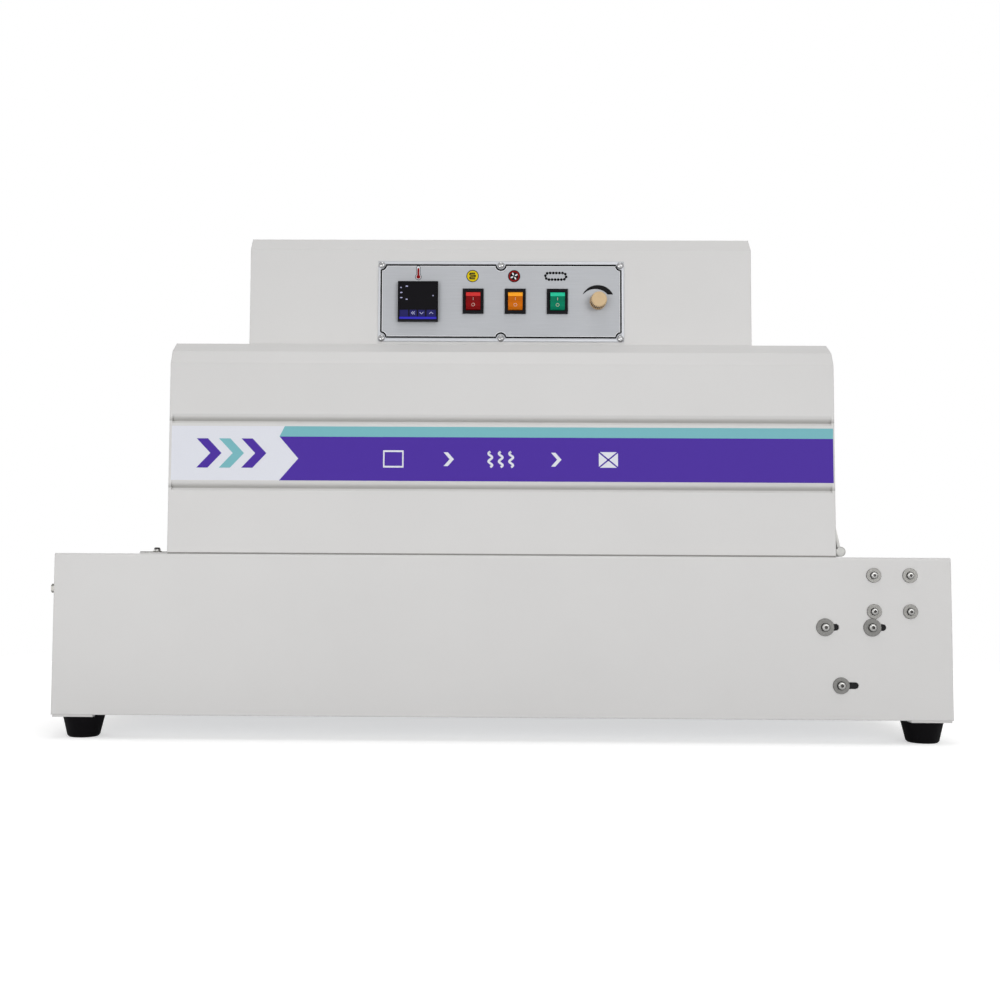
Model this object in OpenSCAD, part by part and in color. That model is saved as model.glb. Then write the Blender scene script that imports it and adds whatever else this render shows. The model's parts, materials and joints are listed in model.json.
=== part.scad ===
// Bench-top heat shrink tunnel: a sheet-steel base with a roller-chain conveyor, a tunnel hood
// with hanging curtains, and a fan box with the controls on top.
// Frame: X along the conveyor from entry to exit, -Y the operator's side, +Z up, feet on Z = 0.
// All sizes are in millimetres.

/* [Base frame] */
// Length of the base over its end plates
base_l = 1020; // [960:2:1160]
// Width of the base over its side panels
base_w = 430; // [410:2:520]
// Height of a side panel
side_h = 183; // [175:1:230]
// Thickness of the bent sheet steel
sheet_t = 1.5; // [1:0.1:2]
// Inner radius of the bent edges
bend_r = 1.5; // [1:0.5:3]
// Width of the top flange that covers each chain
flange_w = 62; // [58:1:70]
// Width of the bottom flange that carries the bottom plate
low_flange_w = 25; // [15:1:40]
// Distance of the bottom flange from the ends of its panel
low_flange_end = 70; // [66:1:90]
// Drop of the end plates' top edge below the side panels
end_drop = 12; // [10:1:16]
// Width of the end plates' inward top flange
end_flange_w = 30; // [15:1:32]
// Thickness of the bottom plate
bottom_t = 1.2; // [1:0.1:2]

/* [Feet] */
// Height of the rubber feet under the cross bars
foot_h = 24.5; // [20:0.5:40]
// Diameter of a foot at the top
foot_top_d = 49; // [40:1:60]
// Diameter of a foot on the ground
foot_low_d = 37; // [30:1:40]
// Rounding at the ground
foot_round = 2; // [1:0.5:4]
// Distance of a foot's axis from the side
foot_side = 27; // [26:0.5:40]
// Distance of an entry foot's axis from the entry end
foot_entry = 30.5; // [27:0.5:36]
// Distance of an exit foot's axis from the exit end
foot_exit = 26.5; // [26:0.5:36]
// Width of the cross bars that carry the feet
bar_w = 46; // [42:1:54]
// Thickness of the cross bars
bar_t = 2.5; // [2:0.1:4]
// Height of the cross bars' upright leg
bar_leg_h = 30; // [20:1:40]

/* [Conveyor] */
// Distance of the drive shaft from the exit end
end_room = 67; // [64:1:72]
// Depth of the shafts below the top of the base
shaft_drop = 40.5; // [40:0.5:44]
// Pitch of the conveyor chain
chain_pitch = 25.4; // [25.4:0.1:26]
// Height of a sprocket's teeth over the pitch circle
tooth_h = 3; // [2:0.2:3.4]
// Diameter of the shafts
shaft_d = 20; // [16:1:22]
// Wall of a sprocket's hub round its shaft
hub_wall = 6; // [4:0.5:7]
// Length of a sprocket's hub beyond its teeth, both sides together
hub_over = 10; // [6:0.5:11]
// Diameter of the carrying rollers
roller_d = 16; // [14:0.5:17]
// Height of a chain plate
plate_h = 12; // [10:0.5:13]
// Height of a chain plate at its waist
plate_waist = 8.4; // [7:0.2:9]
// Thickness of a chain plate
plate_t = 2; // [1.5:0.1:2.5]
// Width between the two rows of chain plates
chain_gap = 8; // [7:0.5:9]
// Diameter of the chain's own rollers
chain_roller_d = 8; // [7:0.2:9]
// Distance of a chain's middle from its side panel
chain_room = 43.5; // [41.5:0.5:45.5]
// Thickness of the rails under the chains
rail_t = 2; // [1.5:0.1:3]
// Height of the rails' upright leg
rail_leg_h = 16; // [12:1:20]
// Distance of a rail's end from the shaft beside it
rail_end = 50; // [46:1:70]

/* [Drive] */
// Spacing of the four bolts of a drive bearing
bearing_bolts = 40.8; // [38:0.2:44]
// Side of the square bearing flange
bearing_side = 60; // [56:1:66]
// Thickness of the bearing flange
bearing_t = 6; // [4:0.5:8]
// Diameter of the bearing's boss
boss_d = 46; // [40:1:48]
// Depth of a bearing from flange to boss end
bearing_depth = 22; // [16:1:28]
// Diameter of the bolt holes
bolt_hole_d = 5.5; // [5:0.1:7]
// Height of the motor's adjusting slots
slot_h = 7.5; // [6.5:0.1:9]
// Free run of an adjusting slot behind its bolt
slot_back = 6; // [5:0.5:8]
// Distance of the far upper motor bolt from the drive shaft
bolt_far = 76; // [72:0.2:78]
// Distance of the near upper motor bolt from the drive shaft
bolt_near = 22.9; // [20:0.1:26]
// Distance of the lower motor bolt from the drive shaft
bolt_low = 58.8; // [52:0.2:60]
// Depth of the upper motor bolts below the top of the base
bolt_high_drop = 79; // [78:0.5:84]
// Depth of the lower motor bolt below the top of the base
bolt_low_drop = 144.4; // [140:0.2:148]
// Free run of an upper slot beyond its bolt
slot_run = 15.8; // [14:0.1:18]
// Free run of the lower slot beyond its bolt
slot_low_run = 19.8; // [18:0.1:21]
// Distance of the motor's axis from the drive shaft
motor_back = 52; // [50:0.5:54]
// Side of the gearbox
gearbox_side = 80; // [70:1:84]
// Depth of the gearbox
gearbox_depth = 56; // [45:1:70]
// Diameter of the motor
motor_d = 72; // [60:1:78]
// Length of the motor behind the gearbox
motor_l = 110; // [80:1:140]
// Thickness of the motor's mounting plate
mount_t = 4; // [3:0.5:6]
// Overhang of the mounting plate beyond the gearbox, both sides together
mount_over = 14; // [10:1:16]

/* [Take-up] */
// Length of a take-up block
block_l = 40; // [36:1:50]
// Height of a take-up block
block_h = 36; // [32:1:44]
// Depth of a take-up block from the panel
block_depth = 18; // [16:0.5:20]
// Diameter of the take-up screws
screw_d = 6; // [5:0.5:8]
// Across the flats of a take-up screw's head
screw_af = 9; // [8:0.5:13]
// Height of a take-up screw's head
screw_head = 5.4; // [3:0.2:6]

/* [Hood] */
// Length of the hood
hood_l = 768; // [700:2:820]
// Height of the hood over the base
hood_h = 249; // [235:1:280]
// Set-back of the hood's face from the base's face
hood_set = 12; // [8:1:20]
// Length of the lower facet of the hood's bent top edges, at 30 degrees to the wall
hood_facet_low = 17.6; // [14:0.2:20]
// Length of the upper facet of the hood's bent top edges, at 60 degrees to the wall
hood_facet_high = 24.4; // [20:0.2:28]
// Height of the lower pressed groove's floor over the base
groove_low = 77; // [70:0.5:90]
// Height of the upper pressed groove's floor over the base
groove_high = 154.8; // [140:0.2:170]
// Rise from a groove's floor to its soft upper lip
groove_up = 7.2; // [6:0.2:9]
// Fall from a groove's floor to its lower lip
groove_down = 3.8; // [3:0.2:5]
// Depth of a groove
groove_depth = 4.2; // [3:0.2:5]
// Plain margin at a groove's ends
groove_end = 3.4; // [3.2:0.2:10]
// Length of the fixing tabs at the entry end
tab_l = 32; // [26:1:40]
// Width of a fixing tab
tab_w = 28; // [22:1:34]

/* [Tunnel] */
// Clear width of the tunnel
tunnel_w = 300; // [280:2:302]
// Clear height of the tunnel's liner
tunnel_h = 158; // [152:1:170]
// Height of the mouths in the hood's ends
mouth_h = 142; // [132:1:146]
// Thickness of the liner
liner_t = 1.2; // [1:0.1:2]
// Greatest width of the liner's outward foot
liner_foot = 20; // [14:1:22]
// Diameter of the heater tubes
heater_d = 8; // [6:0.5:10]
// Spacing of a heater tube's two legs
heater_pitch = 36; // [28:1:40]
// Length of a heater tube's straight legs
heater_l = 440; // [360:2:480]
// Height of the lower heater leg over the base
heater_z = 70; // [60:1:80]

/* [Curtains] */
// Thickness of a curtain
curtain_t = 1.6; // [1:0.1:2]
// Gap between a curtain's edge and the tunnel's wall
curtain_gap = 6; // [5:0.5:10]
// Lean of a resting curtain from the vertical
curtain_lean = 13; // [10:0.5:16]
// Diameter of the weighted hem
hem_d = 12.4; // [10:0.2:14]
// Height of a resting hem over the base
hem_lift = 0.6; // [0.4:0.1:4]
// Diameter of the bars that the curtains hang on
hang_d = 6; // [5:0.5:7]
// Gap between a curtain's loop and its bar
hang_gap = 0.2; // [0.15:0.05:0.4]
// Depth of a hanging bar below the top of its mouth
hang_drop = 6; // [6:0.5:10]

/* [Fan box] */
// Length of the fan box
box_l = 600; // [560:2:660]
// Height of the fan box over the hood
box_h = 133; // [125:1:150]
// Set-back of the fan box's face from the base's face
box_set = 57; // [52:1:80]
// Length of the sloping facet along the fan box's top edges
box_facet = 21.4; // [16:0.2:26]
// Length of a vent slot in the back
vent_l = 60; // [40:1:70]
// Height of a vent slot in the back
vent_h = 4; // [3:0.5:6]
// Spacing of the vent slots
vent_pitch = 12; // [10:0.5:14]
// Number of vent slots in a column
vent_rows = 6; // [4:1:6]
// Height of the lowest vent slot over the hood
vent_low = 34; // [26:1:40]
// Height of the cable inlet over the hood
inlet_low = 34; // [26:1:60]
// Diameter of the cable inlet's thread
inlet_d = 16; // [14:0.5:18]
// Diameter of the cable inlet's cap
inlet_cap_d = 19; // [18:0.5:21]
// Across the corners of the cable inlet's nut
inlet_nut_d = 24; // [22:0.5:27]
// Length of the cable inlet outside the box
inlet_l = 16; // [12:0.5:22]
// Diameter of the cable inlet's bore
inlet_bore_d = 9; // [6:0.5:11]

/* [Controls] */
// Length of the control plate
plate_l = 294; // [286:1:300]
// Width of the control plate
plate_w = 97; // [94:1:102]
// Thickness of the control plate
plate_thick = 1.5; // [1:0.1:3]
// Height of the control plate's lower edge over the hood
plate_lift = 6; // [5:0.5:12]
// Offset of the control plate towards the exit
plate_off = 0.9; // [0:0.1:4]
// Bearing rim of the control plate on the fan box
plate_rim = 14; // [10:0.5:18]
// Distance of the controller's middle from the plate's middle
ctrl_off = 99.1; // [98:0.1:102]
// Depth of the controller's middle below the plate's middle
ctrl_drop = 1.1; // [0:0.1:4]
// Distance of the middle switch from the plate's middle
switch_off = 17.1; // [14:0.1:20]
// Spacing of the switches
switch_pitch = 50.3; // [48:0.05:52]
// Distance of the knob from the plate's middle
knob_off = 115.9; // [112:0.1:118]
// Side of the controller's front
ctrl_side = 48; // [46:0.5:50]
// Width of the rim round the controller's face
ctrl_rim = 1.6; // [1:0.1:3]
// Depth of the controller's face behind its rim
ctrl_recess = 1.2; // [0.6:0.1:2]
// Depth of the controller's front
ctrl_front = 7; // [5:0.5:10]
// Side of the controller's case behind the plate
ctrl_case = 44.8; // [43:0.1:45]
// Depth of the controller's case
ctrl_depth = 70; // [50:1:90]
// Width of a switch bezel
bezel_w = 25; // [24.6:0.1:27]
// Height of a switch bezel
bezel_h = 30.2; // [30:0.1:33]
// Depth of a switch bezel in front of the plate
bezel_t = 2.4; // [2:0.1:3]
// Width of a rocker
rocker_w = 17.2; // [16:0.1:18]
// Sweep radius of a rocker's ends
rocker_r = 11; // [10:0.1:11.4]
// Depth of a rocker's valley in front of its pivot
rocker_valley = 5; // [4.2:0.1:5.6]
// Depth of a rocker's ends in front of its pivot
rocker_proud = 7.2; // [6:0.1:8]
// Height of a rocker's crests above and below its pivot
rocker_crest = 6.2; // [5.6:0.1:6.8]
// Fall of a rocker's ends behind its crests
rocker_fall = 2.6; // [2:0.1:3.2]
// Depth of a rocker behind its pivot
rocker_back = 5; // [4:0.1:6]
// Gap round a rocker
rocker_gap = 0.4; // [0.3:0.05:0.6]
// Tilt of a rocker from the middle to either side
rocker_tilt = 9; // [7:0.5:10]
// Diameter of a rocker's pivot pins
rocker_pin_d = 3; // [2.5:0.1:3.5]
// Diameter of the speed knob
knob_d = 19; // [17:0.5:22]
// Height of the speed knob in front of the plate
knob_h = 17; // [14:0.5:20]
// Diameter of the knob's shaft
knob_shaft_d = 6; // [5:0.5:6.5]
// Diameter of the bush round the knob's shaft
bush_d = 9; // [8.5:0.5:11]
// Number of flutes round the knob
knob_flutes = 26; // [20:1:30]
// Diameter of a flute
flute_d = 1.6; // [1.2:0.1:2]
// Gap between the knob and the plate
knob_gap = 1.6; // [1.2:0.1:3]
// Height of the knob's skirt
skirt_h = 2; // [1:0.1:4]
// Overhang of the knob's skirt
skirt_out = 0.4; // [0.2:0.1:1]
// Height of the knob's cap
cap_h = 1; // [0.6:0.1:2]
// Diameter of the speed setting's case
pot_d = 24; // [20:0.5:28]
// Depth of the speed setting's case
pot_depth = 15; // [10:0.5:20]

/* [Hidden] */
$fn = 64;
eps = 0.01;
fit = 0.2;
sprocket_teeth = 7;
half_l = base_l / 2;
half_w = base_w / 2;
inner_y = half_w - sheet_t;
panel_z = foot_h + bar_t;
base_top = panel_z + side_h;
bar_x = half_l - sheet_t;

shaft_z = base_top - shaft_drop;
pitch_r = sprocket_teeth * chain_pitch / (2 * PI);
drive_x = half_l - end_room;
top_links = round((base_l - 2 * end_room + 5) / chain_pitch);
span = top_links * chain_pitch;
idler_x = drive_x - span;
loop_links = 2 * top_links + sprocket_teeth;
chain_w = chain_gap + 2 * plate_t;
chain_y = inner_y - chain_room;
roller_l = 2 * (chain_y - chain_w / 2 - 0.3);
rail_z = shaft_z + pitch_r - plate_h / 2 - 0.3;
rail_in = chain_y - chain_w / 2;
sprocket_w = chain_gap - 1;
tooth_r = pitch_r + tooth_h;
hub_d = shaft_d + 2 * hub_wall;

motor_bolts = [[drive_x - bolt_far, base_top - bolt_high_drop],
    [drive_x - bolt_near, base_top - bolt_high_drop],
    [drive_x - bolt_low, base_top - bolt_low_drop]];
slot_runs = [slot_run, slot_run, slot_low_run];
motor_x = drive_x - motor_back;
motor_z = panel_z + low_flange_w / 2 + gearbox_side / 2;
mount_h = shaft_z - bearing_side / 2 - 2 - motor_z + gearbox_side / 2;
takeup_y = inner_y - block_depth / 2;

hood_w = base_w - 2 * hood_set;
hood_top = base_top + hood_h;
end_x = hood_l / 2 - sheet_t;
hood_facets = [[0, hood_facet_low * cos(30) + hood_facet_high * sin(30)],
    [hood_facet_low * sin(30), hood_facet_high * sin(30)],
    [hood_facet_low * sin(30) + hood_facet_high * cos(30), 0]];
end_gap = sheet_t + fit;
tab_y = hood_w / 2 - end_gap - tab_w / 2;
foot_reach = min(liner_foot, tab_y - tab_w / 2 - 1 - tunnel_w / 2);

loop_d = hang_d + 2 * hang_gap + 2 * curtain_t;
hang_x = end_x - loop_d / 2 - 1.2;
hang_z = base_top + mouth_h - hang_drop;
curtain_w = tunnel_w - 2 * curtain_gap;
curtain_drop = hang_z - base_top - hem_lift - hem_d / 2;
curtain_l = curtain_drop / cos(curtain_lean);

box_w = base_w - 2 * box_set;
box_top = hood_top + box_h;
box_facets = [[0, box_facet * cos(45)], [box_facet * sin(45), 0]];
plate_z = hood_top + plate_lift + plate_w / 2;
face_y = -box_w / 2;
front_y = face_y - plate_thick;
ctrl_x = plate_off - ctrl_off;
switch_mid = plate_off + switch_off;
switch_x = [switch_mid - switch_pitch, switch_mid, switch_mid + switch_pitch];
knob_x = plate_off + knob_off;
case_w = rocker_w + 2 * rocker_gap + 3;
case_h = 2 * (rocker_r + rocker_gap) + 4;
case_depth = 18;
knob_depth = 8;

// Point of the chain's loop at pin i, as [x, z] from the drive height
function loop_s(i) = i * chain_pitch;
function turn(s) = 180 * s / (PI * pitch_r);
function loop_at(s) =
    s <= span ? [idler_x + s, pitch_r] :
    s <= span + PI * pitch_r ? [drive_x + pitch_r * sin(turn(s - span)),
        pitch_r * cos(turn(s - span))] :
    s <= 2 * span + PI * pitch_r ? [drive_x - (s - span - PI * pitch_r), -pitch_r] :
    [idler_x - pitch_r * sin(turn(s - 2 * span - PI * pitch_r)),
        -pitch_r * cos(turn(s - 2 * span - PI * pitch_r))];
function pin(i) = loop_at(loop_s(i % loop_links));

// Flat profile in (Y, Z) drawn out along X
module along_x(l) {
    rotate([90, 0, 90]) linear_extrude(l, center = true) children();
}

// Flat profile in (X, Z) drawn out along Y
module along_y(l) {
    rotate([90, 0, 0]) linear_extrude(l, center = true) children();
}

// Profile standing on the axis, its upper corners bent along facets through [inset, drop] points
module bent(w, h, facets) {
    n = len(facets);
    right = [for (f = facets) [w / 2 - f[0], h - f[1]]];
    left = [for (i = [n - 1 : -1 : 0]) [-right[i][0], right[i][1]]];
    polygon(concat([[-w / 2, 0], [w / 2, 0]], right, left));
}

// Facet points of the inner side of a sheet t thick, in the inner side's own box
function inner_facets(f, t) = [for (i = [0 : len(f) - 1]) let (
    a = i == 0 ? 0 : atan2(f[i][0] - f[i - 1][0], f[i - 1][1] - f[i][1]),
    b = i == len(f) - 1 ? 90 : atan2(f[i + 1][0] - f[i][0], f[i][1] - f[i + 1][1]),
    k = t / (1 + cos(b - a)))
    [f[i][0] + k * (cos(a) + cos(b)) - t, f[i][1] + k * (sin(a) + sin(b)) - t]];

module bent_sheet(w, h, facets, t) {
    difference() {
        bent(w, h, facets);
        translate([0, -eps]) bent(w - 2 * t, h - t + eps, inner_facets(facets, t));
    }
}

// Side panel seen from its end: web, round bend and top flange, for the side at -Y
module side_profile() {
    r = bend_r + sheet_t;
    translate([-half_w, 0]) square([sheet_t, side_h - r]);
    translate([-half_w + r, side_h - sheet_t]) square([flange_w - r, sheet_t]);
    translate([-half_w + r, side_h - r]) difference() {
        circle(r);
        circle(bend_r);
        translate([0, -2 * r]) square(4 * r);
        translate([-2 * r, -4 * r]) square(4 * r);
    }
}

module side_body() {
    translate([0, 0, panel_z]) {
        along_x(base_l) side_profile();
        translate([-half_l + low_flange_end, -half_w, 0])
            cube([base_l - 2 * low_flange_end, low_flange_w, sheet_t]);
    }
}

module bearing_holes(y, l) {
    for (i = [-1, 1], k = [-1, 1])
        translate([drive_x + i * bearing_bolts / 2, y, shaft_z + k * bearing_bolts / 2])
            rotate([90, 0, 0]) cylinder(d = bolt_hole_d, h = l, center = true);
}

module motor_slots(l) {
    for (i = [0:2]) translate([motor_bolts[i][0] - slot_back, -inner_y, motor_bolts[i][1]]) {
        run = slot_back + slot_runs[i] - slot_h;
        along_y(l) {
            translate([slot_h / 2, -slot_h / 2]) square([run, slot_h]);
            for (x = [0, run]) translate([slot_h / 2 + x, 0]) circle(d = slot_h);
        }
    }
}

module front_side_panel() {
    color("gainsboro") difference() {
        side_body();
        bearing_holes(-inner_y, 4 * sheet_t);
        motor_slots(4 * sheet_t);
    }
}

module rear_side_panel() {
    color("gainsboro") difference() {
        mirror([0, 1, 0]) side_body();
        bearing_holes(inner_y, 4 * sheet_t);
    }
}

module end_body() {
    h = side_h - end_drop;
    translate([-half_l, -inner_y, panel_z]) {
        cube([sheet_t, 2 * inner_y, h]);
        translate([0, 0, h - sheet_t]) cube([end_flange_w, 2 * inner_y, sheet_t]);
    }
}

module left_end_plate() {
    color("gainsboro") difference() {
        end_body();
        for (s = [-1, 1]) translate([-half_l, s * takeup_y, shaft_z]) rotate([0, 90, 0])
            cylinder(d = screw_d + 2 * fit, h = 4 * sheet_t, center = true);
    }
}

module right_end_plate() {
    color("gainsboro") mirror([1, 0, 0]) end_body();
}

module foot_bar_body() {
    translate([-bar_x, -half_w + 0.5, foot_h]) cube([bar_w, base_w - 1, bar_t]);
    translate([-bar_x, -inner_y + 1, foot_h]) cube([bar_t, 2 * inner_y - 2, bar_leg_h]);
}

module left_foot_bar() {
    color("gainsboro") foot_bar_body();
}

module right_foot_bar() {
    color("gainsboro") mirror([1, 0, 0]) foot_bar_body();
}

module bottom_plate() {
    l = 2 * (bar_x - bar_w - 2);
    color("silver") translate([-l / 2, -inner_y + 0.5, panel_z + sheet_t])
        cube([l, 2 * inner_y - 1, bottom_t]);
}

// Tapered rubber foot at the entry end, notched to sit round the edge of its cross bar
module foot(inset) {
    low = foot_low_d / 2;
    top = foot_top_d / 2;
    difference() {
        rotate_extrude() {
            polygon([[0, 0], [low - foot_round, 0], [low, foot_round], [top, panel_z], [0, panel_z]]);
        }
        translate([-foot_top_d, -foot_top_d, foot_h])
            cube([foot_top_d + bar_w - inset + sheet_t, 2 * foot_top_d, 2 * bar_t]);
    }
}

module rubber_feet() {
    insets = [foot_entry, foot_exit];
    color("black") for (i = [0, 1], k = [0, 1]) mirror([i, 0, 0]) mirror([0, k, 0])
        translate([-half_l + insets[i], -half_w + foot_side, 0]) foot(insets[i]);
}

module sprocket() {
    along_y(sprocket_w) difference() {
        circle(tooth_r);
        for (i = [0 : sprocket_teeth - 1]) rotate(90 + i * 360 / sprocket_teeth)
            translate([pitch_r, 0]) {
                circle(d = chain_roller_d + 0.6);
                translate([0, -chain_roller_d / 2 - 0.3]) square(chain_roller_d + 0.6);
            }
    }
    rotate([90, 0, 0]) cylinder(d = hub_d, h = sprocket_w + hub_over, center = true);
}

// Shaft with its two sprockets in one weldment
module shaft_body(x) {
    translate([x, 0, shaft_z]) {
        rotate([90, 0, 0]) cylinder(d = shaft_d, h = 2 * inner_y - 2, center = true);
        for (s = [-1, 1]) translate([0, s * chain_y, 0]) sprocket();
    }
}

module drive_shaft() {
    color("gray") shaft_body(drive_x);
}

module idler_shaft() {
    color("gray") shaft_body(idler_x);
}

module bearing() {
    difference() {
        union() {
            translate([-bearing_side / 2, 0, -bearing_side / 2])
                cube([bearing_side, bearing_t, bearing_side]);
            translate([0, bearing_depth, 0]) rotate([90, 0, 0]) cylinder(d = boss_d, h = bearing_depth);
        }
        rotate([90, 0, 0]) cylinder(d = shaft_d + fit, h = 4 * bearing_depth, center = true);
    }
}

module drive_bearings() {
    color("dimgray") difference() {
        for (k = [0, 1]) mirror([0, k, 0]) translate([drive_x, -inner_y, shaft_z]) bearing();
        for (s = [-1, 1]) bearing_holes(s * inner_y, 4 * bearing_t);
    }
}

module takeup_blocks() {
    color("dimgray") for (k = [0, 1]) mirror([0, k, 0]) difference() {
        translate([idler_x - block_l / 2, -inner_y, shaft_z - block_h / 2])
            cube([block_l, block_depth, block_h]);
        translate([idler_x, -inner_y, shaft_z]) rotate([90, 0, 0])
            cylinder(d = shaft_d + fit, h = 4 * block_depth, center = true);
    }
}

// Hexagon-headed screws that draw the idler shaft towards the entry end
module takeup_screws() {
    l = idler_x - block_l / 2 + half_l;
    color("silver") for (s = [-1, 1]) translate([-half_l, s * takeup_y, shaft_z]) rotate([0, 90, 0]) {
        cylinder(d = screw_d, h = l);
        translate([0, 0, -screw_head]) cylinder(d = screw_af / cos(30), h = screw_head, $fn = 6);
    }
}

// Chain seen from the side: round plate ends on the pins and a narrower waist between them
module chain_outline() {
    for (i = [0 : loop_links - 1]) {
        a = pin(i);
        b = pin(i + 1);
        translate(a) circle(d = plate_h, $fn = 32);
        translate(a) rotate(atan2(b[1] - a[1], b[0] - a[0])) translate([0, -plate_waist / 2])
            square([norm(b - a), plate_waist]);
    }
}

module chain(y) {
    translate([0, y, shaft_z]) {
        for (s = [-1, 1]) translate([0, s * (chain_gap + plate_t) / 2, 0])
            along_y(plate_t) chain_outline();
        for (i = [0 : loop_links - 1]) translate([pin(i)[0], 0, pin(i)[1]])
            rotate([90, 0, 0]) cylinder(d = chain_roller_d, h = chain_gap + plate_t, center = true);
    }
}

module front_chain() {
    color("dimgray") chain(-chain_y);
}

module rear_chain() {
    color("dimgray") chain(chain_y);
}

module rollers(first, last) {
    for (i = [first : last]) translate([pin(i)[0], 0, shaft_z + pin(i)[1]])
        rotate([90, 0, 0]) cylinder(d = roller_d, h = roller_l, center = true);
}

module carrying_rollers() {
    color("silver") rollers(0, top_links + 2);
}

module return_rollers() {
    color("silver") rollers(top_links + 3, loop_links - 1);
}

// Angle rails that carry the chains between the shafts
module chain_rails() {
    l = span - 2 * rail_end;
    color("gray") for (k = [0, 1]) mirror([0, k, 0]) translate([(drive_x + idler_x) / 2, 0, 0]) {
        translate([-l / 2, -inner_y, rail_z - rail_t]) cube([l, inner_y - rail_in, rail_t]);
        translate([-l / 2, -inner_y, rail_z - rail_leg_h]) cube([l, rail_t, rail_leg_h]);
    }
}

module motor_mount() {
    l = gearbox_side + mount_over;
    color("dimgray") difference() {
        translate([motor_x - l / 2, -inner_y, motor_z - gearbox_side / 2])
            cube([l, mount_t, mount_h]);
        for (p = motor_bolts) translate([p[0], -inner_y, p[1]]) rotate([90, 0, 0])
            cylinder(d = bolt_hole_d, h = 4 * mount_t, center = true);
    }
}

module gearmotor() {
    color("gray") translate([motor_x, -inner_y + mount_t, motor_z]) {
        translate([-gearbox_side / 2, 0, -gearbox_side / 2])
            cube([gearbox_side, gearbox_depth, gearbox_side]);
        translate([0, gearbox_depth + motor_l, 0]) rotate([90, 0, 0]) cylinder(d = motor_d, h = motor_l);
    }
}

// Pressed groove seen from the end, at the face of the wall at -Y, with a soft upper lip
module groove() {
    y = -hood_w / 2;
    polygon([[y - eps, groove_up], [y + groove_depth / 8, groove_up * 3 / 4],
        [y + groove_depth * 3 / 8, groove_up * 3 / 7], [y + groove_depth, 0.3],
        [y + groove_depth, -0.3], [y - eps, -groove_down]]);
}

// Sheet that bulges inward behind a groove
module groove_back() {
    y = -hood_w / 2 + sheet_t / 2;
    polygon([[y, groove_up + sheet_t], [y + groove_depth + sheet_t / 2, sheet_t],
        [y + groove_depth + sheet_t / 2, -sheet_t / 2], [y, -groove_down - sheet_t]]);
}

module hood_shell() {
    gl = hood_l - 2 * groove_end;
    color("gainsboro") translate([0, 0, base_top]) difference() {
        union() {
            along_x(hood_l) bent_sheet(hood_w, hood_h, hood_facets, sheet_t);
            for (k = [0, 1], z = [groove_low, groove_high]) mirror([0, k, 0]) translate([0, 0, z])
                along_x(gl + 2 * sheet_t) groove_back();
        }
        for (k = [0, 1], z = [groove_low, groove_high]) mirror([0, k, 0]) translate([0, 0, z])
            along_x(gl) groove();
    }
}

// End wall of the hood with the tunnel's mouth, drawn for the entry end
module hood_end_body() {
    translate([-end_x - sheet_t / 2, 0, base_top]) along_x(sheet_t) difference() {
        bent(hood_w - 2 * end_gap, hood_h - end_gap, inner_facets(hood_facets, end_gap));
        translate([-tunnel_w / 2, -eps]) square([tunnel_w, mouth_h]);
    }
}

module tab(s) {
    difference() {
        translate([0, s * tab_y - tab_w / 2, base_top]) cube([tab_l + sheet_t, tab_w, sheet_t]);
        translate([tab_l / 2 + sheet_t, s * tab_y, base_top])
            cylinder(d = bolt_hole_d, h = 4 * sheet_t, center = true);
    }
}

module left_hood_end() {
    color("gainsboro") {
        hood_end_body();
        for (s = [-1, 1]) translate([-end_x, 0, 0]) mirror([1, 0, 0]) tab(s);
    }
}

module right_hood_end() {
    color("gainsboro") {
        mirror([1, 0, 0]) hood_end_body();
        for (s = [-1, 1]) translate([end_x + sheet_t, 0, 0]) mirror([1, 0, 0]) tab(s);
    }
}

// Inner channel of the tunnel, standing on the base's flanges with outward feet
module tunnel_liner() {
    w = tunnel_w / 2;
    color("silver") translate([0, 0, base_top]) along_x(2 * end_x) {
        difference() {
            translate([-w - liner_t, 0]) square([tunnel_w + 2 * liner_t, tunnel_h + liner_t]);
            translate([-w, -eps]) square([tunnel_w, tunnel_h + eps]);
        }
        for (s = [-1, 1]) translate([s > 0 ? w : -w - foot_reach, 0]) square([foot_reach, liner_t]);
    }
}

// One hairpin heater lying on each wall of the tunnel
module heater_tubes() {
    y = tunnel_w / 2 - heater_d / 2;
    color("dimgray") for (s = [-1, 1]) translate([0, s * y, base_top + heater_z]) {
        for (z = [0, heater_pitch]) translate([-heater_l / 2, 0, z]) rotate([0, 90, 0])
            cylinder(d = heater_d, h = heater_l);
        translate([heater_l / 2, 0, heater_pitch / 2]) rotate([90, 0, 0]) rotate([0, 0, -90])
            rotate_extrude(angle = 180) translate([heater_pitch / 2, 0]) circle(d = heater_d);
    }
}

// Bars across both mouths that the curtains hang on
module hanging_bars() {
    color("silver") for (s = [-1, 1]) translate([s * hang_x, 0, hang_z]) rotate([90, 0, 0])
        cylinder(d = hang_d, h = tunnel_w, center = true);
}

// Curtain hanging on its bar, leaning the way that the goods travel
module curtain() {
    rotate([0, -curtain_lean, 0]) difference() {
        union() {
            along_y(curtain_w) {
                circle(d = loop_d);
                translate([-curtain_t / 2, -curtain_l]) square([curtain_t, curtain_l]);
                translate([0, -curtain_l]) circle(d = hem_d);
            }
        }
        rotate([90, 0, 0]) cylinder(d = hang_d + 2 * hang_gap, h = 2 * curtain_w, center = true);
    }
}

module entry_curtain() {
    color("whitesmoke") translate([-hang_x, 0, hang_z]) curtain();
}

module exit_curtain() {
    color("whitesmoke") translate([hang_x, 0, hang_z]) curtain();
}

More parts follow.
